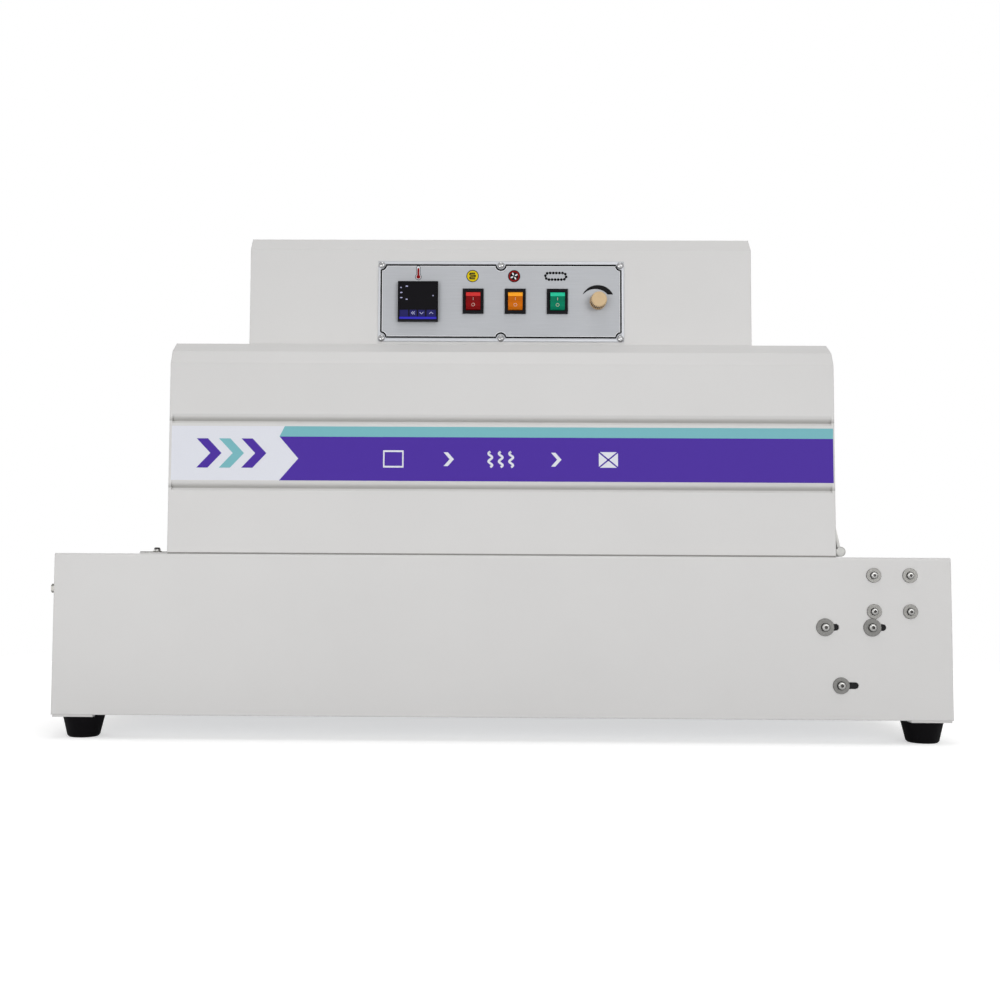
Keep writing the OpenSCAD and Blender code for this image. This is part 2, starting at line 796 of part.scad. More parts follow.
module fan_box() {
    color("gainsboro") translate([0, 0, hood_top]) difference() {
        along_x(box_l) bent_sheet(box_w, box_h, box_facets, sheet_t);
        translate([plate_off - plate_l / 2 + plate_rim, face_y - sheet_t, plate_lift + plate_rim])
            cube([plate_l - 2 * plate_rim, 4 * sheet_t, plate_w - 2 * plate_rim]);
        for (s = [-1, 1], i = [0 : vent_rows - 1])
            translate([s * box_l / 4 - vent_l / 2, box_w / 2 - 2 * sheet_t, vent_low + i * vent_pitch])
                cube([vent_l, 4 * sheet_t, vent_h]);
        translate([0, box_w / 2, inlet_low]) rotate([90, 0, 0])
            cylinder(d = inlet_d + 2 * fit, h = 4 * sheet_t, center = true);
    }
}

module box_end_body() {
    translate([-box_l / 2 + sheet_t / 2, 0, hood_top]) along_x(sheet_t)
        bent(box_w - 2 * end_gap, box_h - end_gap, inner_facets(box_facets, end_gap));
}

module left_box_end() {
    color("gainsboro") box_end_body();
}

module right_box_end() {
    color("gainsboro") mirror([1, 0, 0]) box_end_body();
}

module control_plate() {
    color("lightgray") translate([0, face_y - plate_thick / 2, plate_z]) difference() {
        translate([plate_off, 0, 0]) cube([plate_l, plate_thick, plate_w], center = true);
        translate([ctrl_x, 0, -ctrl_drop])
            cube([ctrl_case + 2 * fit, 4 * plate_thick, ctrl_case + 2 * fit], center = true);
        for (x = switch_x) translate([x, 0, 0])
            cube([case_w + 2 * fit, 4 * plate_thick, case_h + 2 * fit], center = true);
        translate([knob_x, 0, 0]) rotate([90, 0, 0])
            cylinder(d = bush_d + 2 * fit, h = 4 * plate_thick, center = true);
    }
}

module temperature_controller() {
    color("black") translate([ctrl_x, front_y, plate_z - ctrl_drop]) {
        translate([-ctrl_side / 2, -ctrl_front, -ctrl_side / 2]) difference() {
            cube([ctrl_side, ctrl_front, ctrl_side]);
            translate([ctrl_rim, -eps, ctrl_rim])
                cube([ctrl_side - 2 * ctrl_rim, ctrl_recess + eps, ctrl_side - 2 * ctrl_rim]);
        }
        translate([-ctrl_case / 2, -eps, -ctrl_case / 2]) cube([ctrl_case, ctrl_depth, ctrl_case]);
    }
}

module switch_bezel() {
    difference() {
        union() {
            translate([-bezel_w / 2, -bezel_t, -bezel_h / 2]) cube([bezel_w, bezel_t, bezel_h]);
            translate([-case_w / 2, -eps, -case_h / 2]) cube([case_w, case_depth, case_h]);
        }
        translate([-rocker_w / 2 - rocker_gap, -2 * bezel_t, -rocker_r - rocker_gap])
            cube([rocker_w + 2 * rocker_gap, 2 * bezel_t + rocker_r + 3, 2 * (rocker_r + rocker_gap)]);
        rotate([0, 90, 0])
            cylinder(d = rocker_pin_d + fit, h = rocker_w + 2 * rocker_gap + 2, center = true);
    }
}

module switch_bezels() {
    color("black") for (x = switch_x) translate([x, front_y, plate_z]) switch_bezel();
}

// Rocker resting with its lower end pressed in
module rocker(i) {
    translate([switch_x[i], front_y, plate_z]) rotate([rocker_tilt, 0, 0]) {
        along_x(rocker_w) intersection() {
            circle(rocker_r);
            polygon([[-rocker_valley, 0], [-rocker_proud, rocker_crest],
                [rocker_fall - rocker_proud, rocker_r], [rocker_back, rocker_r], [rocker_back, -rocker_r],
                [rocker_fall - rocker_proud, -rocker_r], [-rocker_proud, -rocker_crest]]);
        }
        rotate([0, 90, 0]) cylinder(d = rocker_pin_d, h = rocker_w + 2 * rocker_gap + 1.4, center = true);
    }
}

module red_rocker() {
    color("red") rocker(0);
}

module orange_rocker() {
    color("orange") rocker(1);
}

module green_rocker() {
    color("green") rocker(2);
}

// Fluted knob with its shaft in one moving piece
module speed_knob() {
    r = knob_d / 2;
    grip_h = knob_h - cap_h - knob_gap - skirt_h;
    color("tan") translate([knob_x, front_y, plate_z]) rotate([90, 0, 0]) {
        translate([0, 0, knob_gap]) cylinder(r = r + skirt_out, h = skirt_h);
        translate([0, 0, knob_gap + skirt_h]) linear_extrude(grip_h) difference() {
            circle(r);
            for (i = [0 : knob_flutes - 1]) rotate(i * 360 / knob_flutes) translate([r, 0])
                circle(d = flute_d, $fn = 16);
        }
        difference() {
            translate([0, 0, knob_h - cap_h]) cylinder(r1 = r - flute_d / 3, r2 = r - flute_d, h = cap_h);
            translate([0, r / 2, knob_h]) cube([1.2, r - 2, cap_h], center = true);
        }
        translate([0, 0, -knob_depth]) cylinder(d = knob_shaft_d, h = knob_depth + 2);
    }
}

// Speed setting behind the plate, with the bush that carries the knob's shaft
module speed_control() {
    color("silver") translate([knob_x, front_y, plate_z]) rotate([90, 0, 0]) difference() {
        union() {
            translate([0, 0, -plate_thick - 1]) cylinder(d = bush_d, h = plate_thick + 2);
            translate([0, 0, -plate_thick - pot_depth]) cylinder(d = pot_d, h = pot_depth);
        }
        translate([0, 0, -knob_depth - 1]) cylinder(d = knob_shaft_d + fit, h = 4 * knob_depth);
    }
}

// Cable inlet in the back of the fan box; the cord itself is not part of the model
module cable_inlet() {
    color("black") translate([0, box_w / 2, hood_top + inlet_low]) rotate([-90, 0, 0]) difference() {
        union() {
            translate([0, 0, -inlet_l / 2]) cylinder(d = inlet_d, h = inlet_l);
            cylinder(d = inlet_nut_d, h = inlet_l / 3, $fn = 6);
            cylinder(d = inlet_cap_d, h = inlet_l);
        }
        translate([0, 0, -inlet_l]) cylinder(d = inlet_bore_d, h = 4 * inlet_l);
    }
}

front_side_panel();
rear_side_panel();
left_end_plate();
right_end_plate();
left_foot_bar();
right_foot_bar();
bottom_plate();
rubber_feet();
drive_shaft();
idler_shaft();
drive_bearings();
takeup_blocks();
takeup_screws();
front_chain();
rear_chain();
carrying_rollers();
return_rollers();
chain_rails();
motor_mount();
gearmotor();
hood_shell();
left_hood_end();
right_hood_end();
tunnel_liner();
heater_tubes();
hanging_bars();
entry_curtain();
exit_curtain();
fan_box();
left_box_end();
right_box_end();
control_plate();
temperature_controller();
switch_bezels();
red_rocker();
orange_rocker();
green_rocker();
speed_knob();
speed_control();
cable_inlet();
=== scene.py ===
# %% [markdown]
# # A bench-top heat shrink tunnel
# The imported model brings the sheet-steel base, the roller conveyor, the hood and the fan box, all in
# metres and already in place. This lesson dresses that frame: finishes for every node, then the screws,
# the printing, the label and the hanging curtains that a solid model leaves plain.

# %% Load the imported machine
import json
from math import atan2, cos, degrees, hypot, pi, radians, sin

import bpy
from mathutils import Matrix, Vector


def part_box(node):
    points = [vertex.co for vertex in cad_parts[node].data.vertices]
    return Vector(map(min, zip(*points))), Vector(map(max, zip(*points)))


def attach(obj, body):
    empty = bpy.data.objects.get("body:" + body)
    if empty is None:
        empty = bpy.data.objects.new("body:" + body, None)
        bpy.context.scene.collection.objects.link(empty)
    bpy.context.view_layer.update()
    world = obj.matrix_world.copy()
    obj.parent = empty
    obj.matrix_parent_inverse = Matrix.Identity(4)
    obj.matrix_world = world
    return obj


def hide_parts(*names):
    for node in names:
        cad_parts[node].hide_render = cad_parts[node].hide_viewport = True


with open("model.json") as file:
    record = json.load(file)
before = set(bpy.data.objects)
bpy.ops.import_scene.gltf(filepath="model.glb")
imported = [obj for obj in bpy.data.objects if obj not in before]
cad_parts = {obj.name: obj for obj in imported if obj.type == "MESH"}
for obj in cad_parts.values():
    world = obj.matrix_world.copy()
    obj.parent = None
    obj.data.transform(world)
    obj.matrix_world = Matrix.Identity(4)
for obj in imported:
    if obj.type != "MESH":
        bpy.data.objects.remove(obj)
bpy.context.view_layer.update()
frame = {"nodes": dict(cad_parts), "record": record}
NODES = frame["nodes"]
MM = 0.001

# %% [markdown]
# ## Camera
# The photographer stood level with the top of the base, a metre and a half from its face, and tipped
# the camera up a little. A slight roll makes the right end sit lower, and the picture was cropped off
# centre afterwards, which is what a camera's shift does.

# %% Place the camera
camera = bpy.data.objects.new("camera", bpy.data.cameras.new("camera"))
bpy.context.collection.objects.link(camera)
camera.data.sensor_width = 36
camera.data.lens = 46.86
camera.data.shift_x, camera.data.shift_y = 0.0545, -0.0288
camera.location = (-0.0444, -1.7014, 0.2077)
camera.rotation_euler = (radians(93.778), radians(-0.325), radians(0.715))
bpy.context.scene.camera = camera
print("camera:", tuple(camera.location), "lens", camera.data.lens)

# %% [markdown]
# ## Shader sums
# A finish is mostly arithmetic on a few noises and coordinates. Wrapping a socket in a small class lets
# the sums read as ordinary Python, and each operator adds its own Math node. A Graph is one node tree.
# Its method `node` adds any other node from a type, its settings and its sockets, and the short methods
# after it name the few that come up again and again.


# %% Shader arithmetic
class Sock:
    def __init__(self, tree, socket):
        self.tree, self.socket = tree, socket

    def calc(self, operation, first, second):
        node = self.tree.nodes.new("ShaderNodeMath")
        node.operation = operation
        for slot, value in zip(node.inputs, (first, second)):
            plug(self.tree, slot, value)
        return Sock(self.tree, node.outputs[0])

    def __add__(self, other):
        return self.calc("ADD", self, other)

    def __radd__(self, other):
        return self.calc("ADD", other, self)

    def __mul__(self, other):
        return self.calc("MULTIPLY", self, other)

    def __rmul__(self, other):
        return self.calc("MULTIPLY", other, self)

    def __gt__(self, other):
        return self.calc("GREATER_THAN", self, other)


def plug(tree, slot, value):
    if isinstance(value, Sock):
        tree.links.new(value.socket, slot)
    else:
        slot.default_value = value


# %% A node tree
class Graph:
    def __init__(self, owner):
        owner.use_nodes = True
        self.tree = owner.node_tree

    def node(self, kind, settings=None, sockets=None, out=0):
        node = self.tree.nodes.new(kind)
        for key, value in (settings or {}).items():
            setattr(node, key, value)
        for key, value in (sockets or {}).items():
            plug(self.tree, node.inputs[key], value)
        return Sock(self.tree, node.outputs[out])

    def part(self, vector, axis):
        """One component of a vector."""
        return self.node("ShaderNodeSeparateXYZ", sockets={"Vector": vector}, out=axis)

    def length(self, vector):
        return self.node("ShaderNodeVectorMath", {"operation": "LENGTH"}, {"Vector": vector}, out="Value")

    def ramp(self, value, start, end, low=0.0, high=1.0, kind="LINEAR"):
        """Go from low to high while a value goes from a start to an end."""
        limits = {"From Min": start, "From Max": end, "To Min": low, "To Max": high}
        return self.node("ShaderNodeMapRange", {"interpolation_type": kind}, {"Value": value, **limits})

    def sharp_ray(self):
        """1 where the camera looks straight at something, in a mirror or through glass."""
        kinds = ("Camera", "Glossy", "Transmission")
        return sum(self.node("ShaderNodeLightPath", out=f"Is {kind} Ray") for kind in kinds)

    def show(self, shader, output):
        plug(self.tree, self.tree.nodes[output].inputs["Surface"], shader)


# %% A material
class Finish(Graph):
    """One material: constants go on the shader's own sockets, formulas are fed to the rest."""

    def __init__(self, name, **constants):
        self.material = bpy.data.materials.new(name)
        super().__init__(self.material)
        self.shader = self.tree.nodes["Principled BSDF"]
        self.feed(**constants)
        self.place = self.node("ShaderNodeTexCoord", out="Object")

    def noise(self, scale, detail=2.0, stretch=(1, 1, 1)):
        spot = self.node("ShaderNodeMapping", sockets={"Vector": self.place, "Scale": stretch})
        return self.node("ShaderNodeTexNoise", sockets={"Vector": spot, "Scale": scale, "Detail": detail})

    def mix(self, factor, first, second):
        return self.node("ShaderNodeMix", {"data_type": "RGBA"}, {0: factor, 6: first, 7: second}, out=2)

    def feed(self, **values):
        for socket, value in values.items():
            plug(self.tree, self.shader.inputs[socket.replace("_", " ")], value)
        return self

    def bump(self, height, distance, strength=0.5, round_edge=0.0):
        sockets = {"Height": height, "Distance": distance, "Strength": strength}
        if round_edge:
            sockets["Normal"] = self.node("ShaderNodeBevel", {"samples": 4}, {"Radius": round_edge})
        return self.feed(Normal=self.node("ShaderNodeBump", sockets=sockets))


# %% [markdown]
# ## Light
# The picture's light is very even, so that bends hardly differ from flat panels. The world gives most of
# it, a little dimmer below the horizon, which darkens the grooves. A plain grey world would also tint the
# background, so the camera, mirrors and glass see white instead.

# %% Make the world
bpy.context.scene.view_settings.view_transform = "Standard"
bpy.context.scene.world = bpy.data.worlds.new("studio")
sky = Graph(bpy.context.scene.world)
HORIZON = (-0.3, 0.5)
GLOW_LOW, GLOW_HIGH = 0.16, 0.45
rise = sky.part(sky.node("ShaderNodeTexCoord", out="Generated"), "Z")
glow = sky.ramp(rise, *HORIZON, GLOW_LOW, GLOW_HIGH, "SMOOTHSTEP")
soft_sky = sky.node("ShaderNodeBackground", sockets={"Color": glow, "Strength": 1.0})
white_sky = sky.node("ShaderNodeBackground", sockets={"Color": (1, 1, 1, 1), "Strength": 1.0})
both_skies = sky.node("ShaderNodeMixShader", sockets={0: sky.sharp_ray(), 1: soft_sky, 2: white_sky})
sky.show(both_skies, "World Output")
print("world:", GLOW_LOW, "below the horizon to", GLOW_HIGH, "above")

# %% [markdown]
# The lamps only shape that light. A broad one stands high on the right, because the knob's shadow falls
# to the lower left, and a second one fills from the left. One from above lifts the flat tops, and three
# more light the back and both ends for other views. Wide discs keep every shadow soft.


# %% Hang the lamps
def lamp(name, place, aim, size, power):
    data = bpy.data.lights.new(name, "AREA")
    data.shape = "DISK"
    data.size = size
    data.energy = power
    obj = bpy.data.objects.new(name, data)
    bpy.context.collection.objects.link(obj)
    obj.location = place
    obj.rotation_euler = (Vector(aim) - Vector(place)).to_track_quat("-Z", "Y").to_euler()


HOOD_MIDDLE = (0, 0, 0.3)
lamp("key_lamp", (1.2, -2.9, 0.9), (0.1, 0, 0.05), 1.4, 28)
lamp("fill_lamp", (-1.4, -3.0, 0.1), (0, 0, 0), 1.8, 32.5)
lamp("top_lamp", (0.0, -0.8, 2.3), (0, -0.2, 0.4), 0.9, 6.5)
lamp("back_lamp", (0.2, 2.9, 1.2), HOOD_MIDDLE, 1.8, 42)
lamp("entry_lamp", (-3.2, 0.3, 0.7), HOOD_MIDDLE, 1.6, 30)
lamp("exit_lamp", (3.2, 0.3, 0.7), HOOD_MIDDLE, 1.6, 30)

# %% [markdown]
# ## Powder coat
# Every outer sheet is powder coated in the same pale warm grey. Cured powder has a fine orange peel,
# about a millimetre from bump to bump, a soft gloss, and hardly any change of colour. Two noises give
# the peel, and a third moves the gloss and the tone a little so that large panels don't look dead. Shade
# in the floor of a pressed groove is painted into the colour: the finish can be told at which heights such
# floors lie.


# %% Powder coat
def rgb(red, green, blue):
    """A colour read from a screen, as the linear values that a shader wants."""
    line = [c / 255 for c in (red, green, blue)]
    return tuple(c / 12.92 if c <= 0.04045 else ((c + 0.055) / 1.055) ** 2.4 for c in line) + (1.0,)


COAT, COAT_SHADE, GROOVE_SHADE = rgb(214, 213, 212), rgb(205, 204, 203), rgb(170, 169, 166)
GROOVE_SLOPE, GROOVE_LIP_LOW, GROOVE_LIP_TOP = 5 * MM, 1.2 * MM, 0.4 * MM


def painted(name, colour, shade, peel=0.08 * MM, groove_floors=()):
    coat = Finish(name, IOR=1.5, Specular_IOR_Level=0.35)
    clouds, fine, coarse = coat.noise(9, 3), coat.noise(820, 2), coat.noise(260, 1)
    tone = coat.mix(clouds * 0.5 + fine * 0.2, colour, shade)
    # painted shade: a band that darkens down to each groove floor
    for floor_z in groove_floors:
        height = coat.part(coat.place, "Z")
        over = coat.ramp(height, floor_z + GROOVE_SLOPE, floor_z)
        under = coat.ramp(height, floor_z - GROOVE_LIP_LOW, floor_z - GROOVE_LIP_TOP)
        tone = coat.mix(over * under, tone, GROOVE_SHADE)
    coat.feed(Base_Color=tone, Roughness=0.42 + fine * 0.1 + clouds * 0.06)
    return coat.bump(fine + coarse * 0.6, peel, 0.55, round_edge=1.6 * MM).material


POWDER_COAT = painted("powder_coat", COAT, COAT_SHADE)
print("powder coat:", len(POWDER_COAT.node_tree.nodes), "nodes")

# %% [markdown]
# ## Metals, rubber and plastics
# Bare metal is a mirror with fine scratches. One noise, stretched along the grain where there is one,
# makes the scratches, and a soft noise clouds the surface. Moulded rubber and plastic are dull and even
# instead: a fine noise for the mould's texture is enough, with little gloss.

# %% Metal and plastic
FINE_BUMP = 0.03 * MM


def metal(name, colour, shade, rough, grain=(1, 1, 1), scale=420, shine=1.0):
    bare = Finish(name, Metallic=shine)
    lines, clouds = bare.noise(scale, 3, grain), bare.noise(14, 4)
    bare.feed(Base_Color=bare.mix(lines * 0.6 + clouds * 0.3, colour, shade),
              Roughness=rough + lines * 0.12 + clouds * 0.08)
    return bare.bump(lines, FINE_BUMP).material


def plastic(name, colour, shade, rough, grain=900, depth=FINE_BUMP, gloss=0.3):
    mould = Finish(name, IOR=1.48, Specular_IOR_Level=gloss)
    fine, clouds = mould.noise(grain, 2), mould.noise(40, 3)
    mould.feed(Base_Color=mould.mix(fine * 0.5 + clouds * 0.3, colour, shade), Roughness=rough + fine * 0.1)
    return mould.bump(fine, depth).material


# %% [markdown]
# The rockers are clear tinted plastic. Their upper edge, where light from above falls, has a painted
# highlight. Real glass shaders are slow and can't be baked, so the finish looks at the normal: where a face
# leans back by more than about fifteen degrees, it takes the brighter highlight colour.

# %% Tinted plastic of the rockers
LEAN_BACK = (0.2, 0.32)


def lens(name, colour, shade, painted_highlight):
    tint = Finish(name, IOR=1.48, Specular_IOR_Level=0.12)
    faces_up = tint.part(tint.node("ShaderNodeTexCoord", out="Normal"), "Z")
    highlight_mask = tint.ramp(faces_up, *LEAN_BACK)
    fine, clouds = tint.noise(900, 2), tint.noise(40, 3)
    plain = tint.mix(fine * 0.5 + clouds * 0.3, colour, shade)
    tint.feed(Base_Color=tint.mix(highlight_mask, plain, painted_highlight), Roughness=0.16 + fine * 0.1)
    return tint.bump(fine, FINE_BUMP).material


# %% [markdown]
# ## A finish for every node
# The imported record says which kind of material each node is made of, so one table from kind to finish
# dresses the whole frame. The brushed plate and the rolled liner have their scratches drawn out along X,
# and the turned rollers along Y. Three nodes need more than their kind tells, and they follow after it.

# %% Dress the frame
BRUSHED, ROLLED, TURNED = (0.02, 1, 1), (0.05, 1, 1), (1, 0.04, 1)
FINISHES = {
    "powder_coat": POWDER_COAT,
    "zinc_sheet": metal("zinc_sheet", rgb(180, 182, 184), rgb(146, 149, 154), 0.34, scale=60),
    "foot_rubber": plastic("foot_rubber", rgb(16, 15, 17), rgb(9, 8, 10), 0.75, 500, 0.12 * MM, gloss=0.06),
    "dark_steel": metal("dark_steel", rgb(120, 119, 118), rgb(74, 72, 70), 0.35, scale=240),
    "cast_housing": painted("cast_housing", rgb(78, 80, 84), rgb(60, 62, 66), 0.2 * MM),
    "zinc_steel": metal("zinc_steel", rgb(146, 145, 141), rgb(104, 103, 101), 0.3, scale=700),
    "roller_steel": metal("roller_steel", rgb(190, 191, 192), rgb(158, 159, 161), 0.25, TURNED, 900),
    "motor_aluminium": metal("motor_aluminium", rgb(178, 180, 182), rgb(150, 152, 155), 0.42, scale=300),
    "liner_steel": metal("liner_steel", rgb(184, 184, 182), rgb(148, 146, 140), 0.32, ROLLED, 700),
    "heater_steel": metal("heater_steel", rgb(104, 92, 82), rgb(62, 58, 60), 0.4, scale=180),
    "curtain_cloth": plastic("curtain_plain", rgb(206, 206, 203), rgb(190, 190, 186), 0.5),
    "plate_aluminium": metal("plate_aluminium", rgb(178, 180, 184), rgb(160, 162, 166), 0.5,
                             BRUSHED, 1500, shine=0.25),
    "black_plastic": plastic("black_plastic", rgb(18, 17, 20), rgb(11, 10, 13), 0.45, gloss=0.08),
    # the third colour of each rocker is the painted highlight on its upper edge
    "red_plastic": lens("red_plastic", rgb(140, 6, 10), rgb(112, 2, 5), rgb(206, 52, 50)),
    "orange_plastic": lens("orange_plastic", rgb(214, 116, 6), rgb(184, 90, 3), rgb(252, 166, 40)),
    "green_plastic": lens("green_plastic", rgb(0, 134, 100), rgb(0, 106, 78), rgb(40, 192, 150)),
}


def dress(node, material):
    for place in NODES[node].material_slots:
        place.material = material


for part in frame["record"]["subparts"]:
    # the knob's kind has no row in the table: its finish follows below
    dress(part["node"], FINISHES.get(part["material_slot"]))
print("finishes:", len(FINISHES))

# %% [markdown]
# The hood has the same coat as the other sheets, with painted shade in its two pressed grooves. The
# gearmotor's mounting plate is near-black as painted shade: it only shows as a dark floor in the adjusting
# slots.

# %% Grooves of the hood and the motor's plate
hood_low, hood_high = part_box("hood_shell")
groove_floors = [hood_low.z + above_foot * MM for above_foot in (77, 154.8)]
dress("hood_shell", painted("hood_coat", COAT, COAT_SHADE, groove_floors=groove_floors))
# near-black painted shade for the dark seen through the adjusting slots
dress("motor_mount", plastic("mount_slot_shade", rgb(24, 24, 26), rgb(16, 16, 18), 0.5, gloss=0.15))
print("groove floors in mm:", [round(z / MM, 1) for z in groove_floors])

# %% [markdown]
# The knob is pale plastic with flutes round its side, and its colour turns dark brown in the flutes. The
# distance from the knob's axis tells a flute's floor from the side, and the front face stays pale.

# %% Knob with dark flutes
knob_low, knob_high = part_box("speed_knob")
knob_mid = (knob_low + knob_high) / 2
FLUTE_FLOOR_R, FLUTE_EDGE_R, PALE_DEPTH = 8.9 * MM, 9.45 * MM, 1.2 * MM
knob = Finish("knob_ridged", IOR=1.48, Specular_IOR_Level=0.3, Roughness=0.5)
to_axis = {"Scale": (1, 0, 1), "Location": (-knob_mid.x, 0, -knob_mid.z)}
from_axis = knob.length(knob.node("ShaderNodeMapping", sockets={"Vector": knob.place, **to_axis}))
in_flute = knob.ramp(from_axis, FLUTE_EDGE_R, FLUTE_FLOOR_R)
behind_face = knob.part(knob.place, "Y") > knob_low.y + PALE_DEPTH
fine = knob.noise(1400, 2)
pale = knob.mix(fine * 0.6, rgb(212, 185, 145), rgb(194, 166, 126))
knob.feed(Base_Color=knob.mix(in_flute * behind_face, pale, rgb(104, 74, 50))).bump(fine, FINE_BUMP)
dress("speed_knob", knob.material)
print("knob's middle in mm:", [round(v / MM, 1) for v in knob_mid])

# %% [markdown]
# ## Floor
# The picture's ground is plain white. A wide sheet just under the feet takes the soft shadow, and fades
# into the white world before its edge can be seen. The camera sees it brighter than the machine does,
# so that it looks white and still doesn't light the machine too much from below.

# %% Lay the floor
bpy.ops.object.select_all(action="DESELECT")
bpy.ops.mesh.primitive_plane_add(size=12, location=(0, 0, -0.4 * MM))
floor = bpy.context.object
floor.name = "floor"
paper = Finish("floor_paper", Roughness=0.9, Specular_IOR_Level=0.0, Emission_Strength=1.0)
seen = paper.sharp_ray()
paper.feed(Base_Color=paper.mix(seen, rgb(204, 204, 204), rgb(222, 222, 222)),
           Emission_Color=paper.mix(seen, (0, 0, 0, 1), (0.5, 0.5, 0.5, 1)))
FADE_START, FADE_END = 0.62, 1.5
fade = paper.ramp(paper.length(paper.place), FADE_START, FADE_END, kind="SMOOTHSTEP")
clear = paper.node("ShaderNodeBsdfTransparent")
solid = Sock(paper.tree, paper.shader.outputs[0])
paper.show(paper.node("ShaderNodeMixShader", sockets={0: fade, 1: solid, 2: clear}), "Material Output")
floor.data.materials.append(paper.material)
print("floor fades out from", FADE_START, "to", FADE_END, "m")

# %% [markdown]
# ## Making and placing a piece
# A new piece starts as a primitive at its own size and place and is shaped in edit mode. When it is
# done, its place goes into its mesh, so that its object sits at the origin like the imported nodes, and
# it is told which body it rides on. What comes more than once is modelled once, as a pattern, and each
# copy of it gets its own mesh. The pattern itself is thrown away.


# %% Select, edit, copy and join
def deselect():
    bpy.ops.object.select_all(action="DESELECT")


def only(obj):
    deselect()
    obj.select_set(True)
    bpy.context.view_layer.objects.active = obj


def editing(obj, *steps):
    """Run operators in edit mode on everything in the piece."""
    only(obj)
    bpy.ops.object.mode_set(mode="EDIT")
    for step in steps:
        bpy.ops.mesh.select_all(action="SELECT")
        step()
    bpy.ops.object.mode_set(mode="OBJECT")


def apply_modifier(obj, kind, **settings):
    only(obj)
    modifier = obj.modifiers.new(kind.title(), kind)
    for key, value in settings.items():
        setattr(modifier, key, value)
    bpy.ops.object.modifier_apply(modifier=modifier.name)


def copy_of(pattern):
    only(pattern)
    bpy.ops.object.duplicate()
    return bpy.context.object


def throw_away(*patterns):
    for pattern in patterns:
        bpy.data.objects.remove(pattern)


def join(first, *others):
    only(first)
    for obj in others:
        obj.select_set(True)
    bpy.ops.object.join()
    return first


# %% Settle a finished piece
MERGE = 1e-6


def settle(obj, name, material, body="frame", angle=35):
    """Put the place into the mesh, smooth it, and let the piece ride on a body."""
    only(obj)
    bpy.ops.object.transform_apply(location=True, rotation=True, scale=True)
    editing(obj, lambda: bpy.ops.mesh.remove_doubles(threshold=MERGE),
            lambda: bpy.ops.mesh.normals_make_consistent(inside=False))
    only(obj)
    bpy.ops.object.shade_smooth_by_angle(angle=radians(angle))
    obj.name = obj.data.name = name
    if material:
        obj.data.materials.clear()
        obj.data.materials.append(material)
    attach(obj, body)
    return obj


# %% Turn, cut and stand
def lathe(profile, steps=48):
    """Turn a profile of (radius, height) in metres round Z: one vertex is extruded along it, then spun."""
    deselect()
    bpy.ops.mesh.primitive_plane_add(size=1 * MM, location=(0, 0, 0))
    obj = bpy.context.object
    bpy.ops.object.mode_set(mode="EDIT")
    bpy.ops.mesh.merge(type="CENTER")
    bpy.ops.transform.translate(value=(profile[0][0], 0, profile[0][1]))
    for (r0, z0), (r1, z1) in zip(profile, profile[1:]):
        bpy.ops.mesh.extrude_region_move(TRANSFORM_OT_translate={"value": (r1 - r0, 0, z1 - z0)})
    bpy.ops.mesh.select_all(action="SELECT")
    bpy.ops.mesh.spin(steps=steps, angle=2 * pi, center=(0, 0, 0), axis=(0, 0, 1))
    bpy.ops.mesh.select_all(action="SELECT")
    bpy.ops.mesh.remove_doubles(threshold=MERGE)
    bpy.ops.mesh.normals_make_consistent(inside=False)
    bpy.ops.object.mode_set(mode="OBJECT")
    return obj


def slab(size, place, edge, segments=2):
    """A block with rounded edges."""
    deselect()
    bpy.ops.mesh.primitive_cube_add(size=1, location=place, scale=size)
    obj = bpy.context.object
    only(obj)
    bpy.ops.object.transform_apply(location=True, rotation=True, scale=True)
    apply_modifier(obj, "BEVEL", width=edge, segments=segments)
    return obj


def cut_with(obj, cutter):
    """Take the cutter's volume out of the piece."""
    apply_modifier(obj, "BOOLEAN", operation="DIFFERENCE", object=cutter, solver="EXACT")
    throw_away(cutter)


def stand(obj, place, axis):
    """Turn a piece that was made along +Z so that it points along an axis, and move it to its place."""
    obj.data.transform(Vector((0, 0, 1)).rotation_difference(Vector(axis)).to_matrix().to_4x4())
    obj.data.transform(Matrix.Translation(place))


# %% [markdown]
# ## Washers and cap screws
# The drive bearing hangs on four cap screws and the gearmotor on three, each over a plain washer. A screw
# head is a low lathe-turned dome, and a six-sided cutter leaves its key socket. The socket and the steep
# rim
# are painted in darker steel: painted shade in the socket, and on the rim a painted reflection of the dark
# side of a room, which this white studio lacks.

# %% Model a washer and a cap screw
SHADE_AND_REFLECTION_DARK = metal("painted_shade_and_reflection", rgb(86, 84, 82), rgb(44, 43, 44), 0.35, scale=500)
BRIGHT_ZINC = metal("bright_zinc", rgb(163, 163, 161), rgb(126, 125, 123), 0.24, scale=700)
STEEP_RIM = (0.1, 0.8)
SKIN = 0.1 * MM


def washer(outer, bore, thick):
    edge = 0.25 * MM
    return lathe([(bore, 0), (outer, 0), (outer, thick - edge), (outer - edge, thick),
                  (bore + edge, thick), (bore, thick - edge), (bore, 0)])


def cap_screw(radius, height, key):
    rim, crown = 0.5 * MM, radius * 0.55
    dome = [(crown + (radius - crown) * cos(a), rim + (height - rim) * sin(a))
            for a in (0, 0.3, 0.6, 0.9, 1.2, pi / 2)]
    head = lathe([(0, 0), (radius, 0), *dome, (0, height)])
    deselect()
    bpy.ops.mesh.primitive_cylinder_add(vertices=6, radius=key, depth=height, location=(0, 0, height * 0.9))
    cut_with(head, bpy.context.object)
    for finish in (BRIGHT_ZINC, SHADE_AND_REFLECTION_DARK):
        head.data.materials.append(finish)
    # socket faces take painted shade, steep rim faces a painted dark reflection
    for face in head.data.polygons:
        in_socket = SKIN < face.center.z < height - SKIN and face.center.xy.length < key * 1.01
        on_rim = STEEP_RIM[0] < face.normal.z < STEEP_RIM[1]
        face.material_index = 1 if in_socket or on_rim else 0
    return head


# %% [markdown]
# The bearing's screws stand in a square round the drive shaft, at the front and the back. The motor's
# three have larger washers, because they have to bridge the adjusting slots. Their places are measured
# from the shaft and from the top of the base.

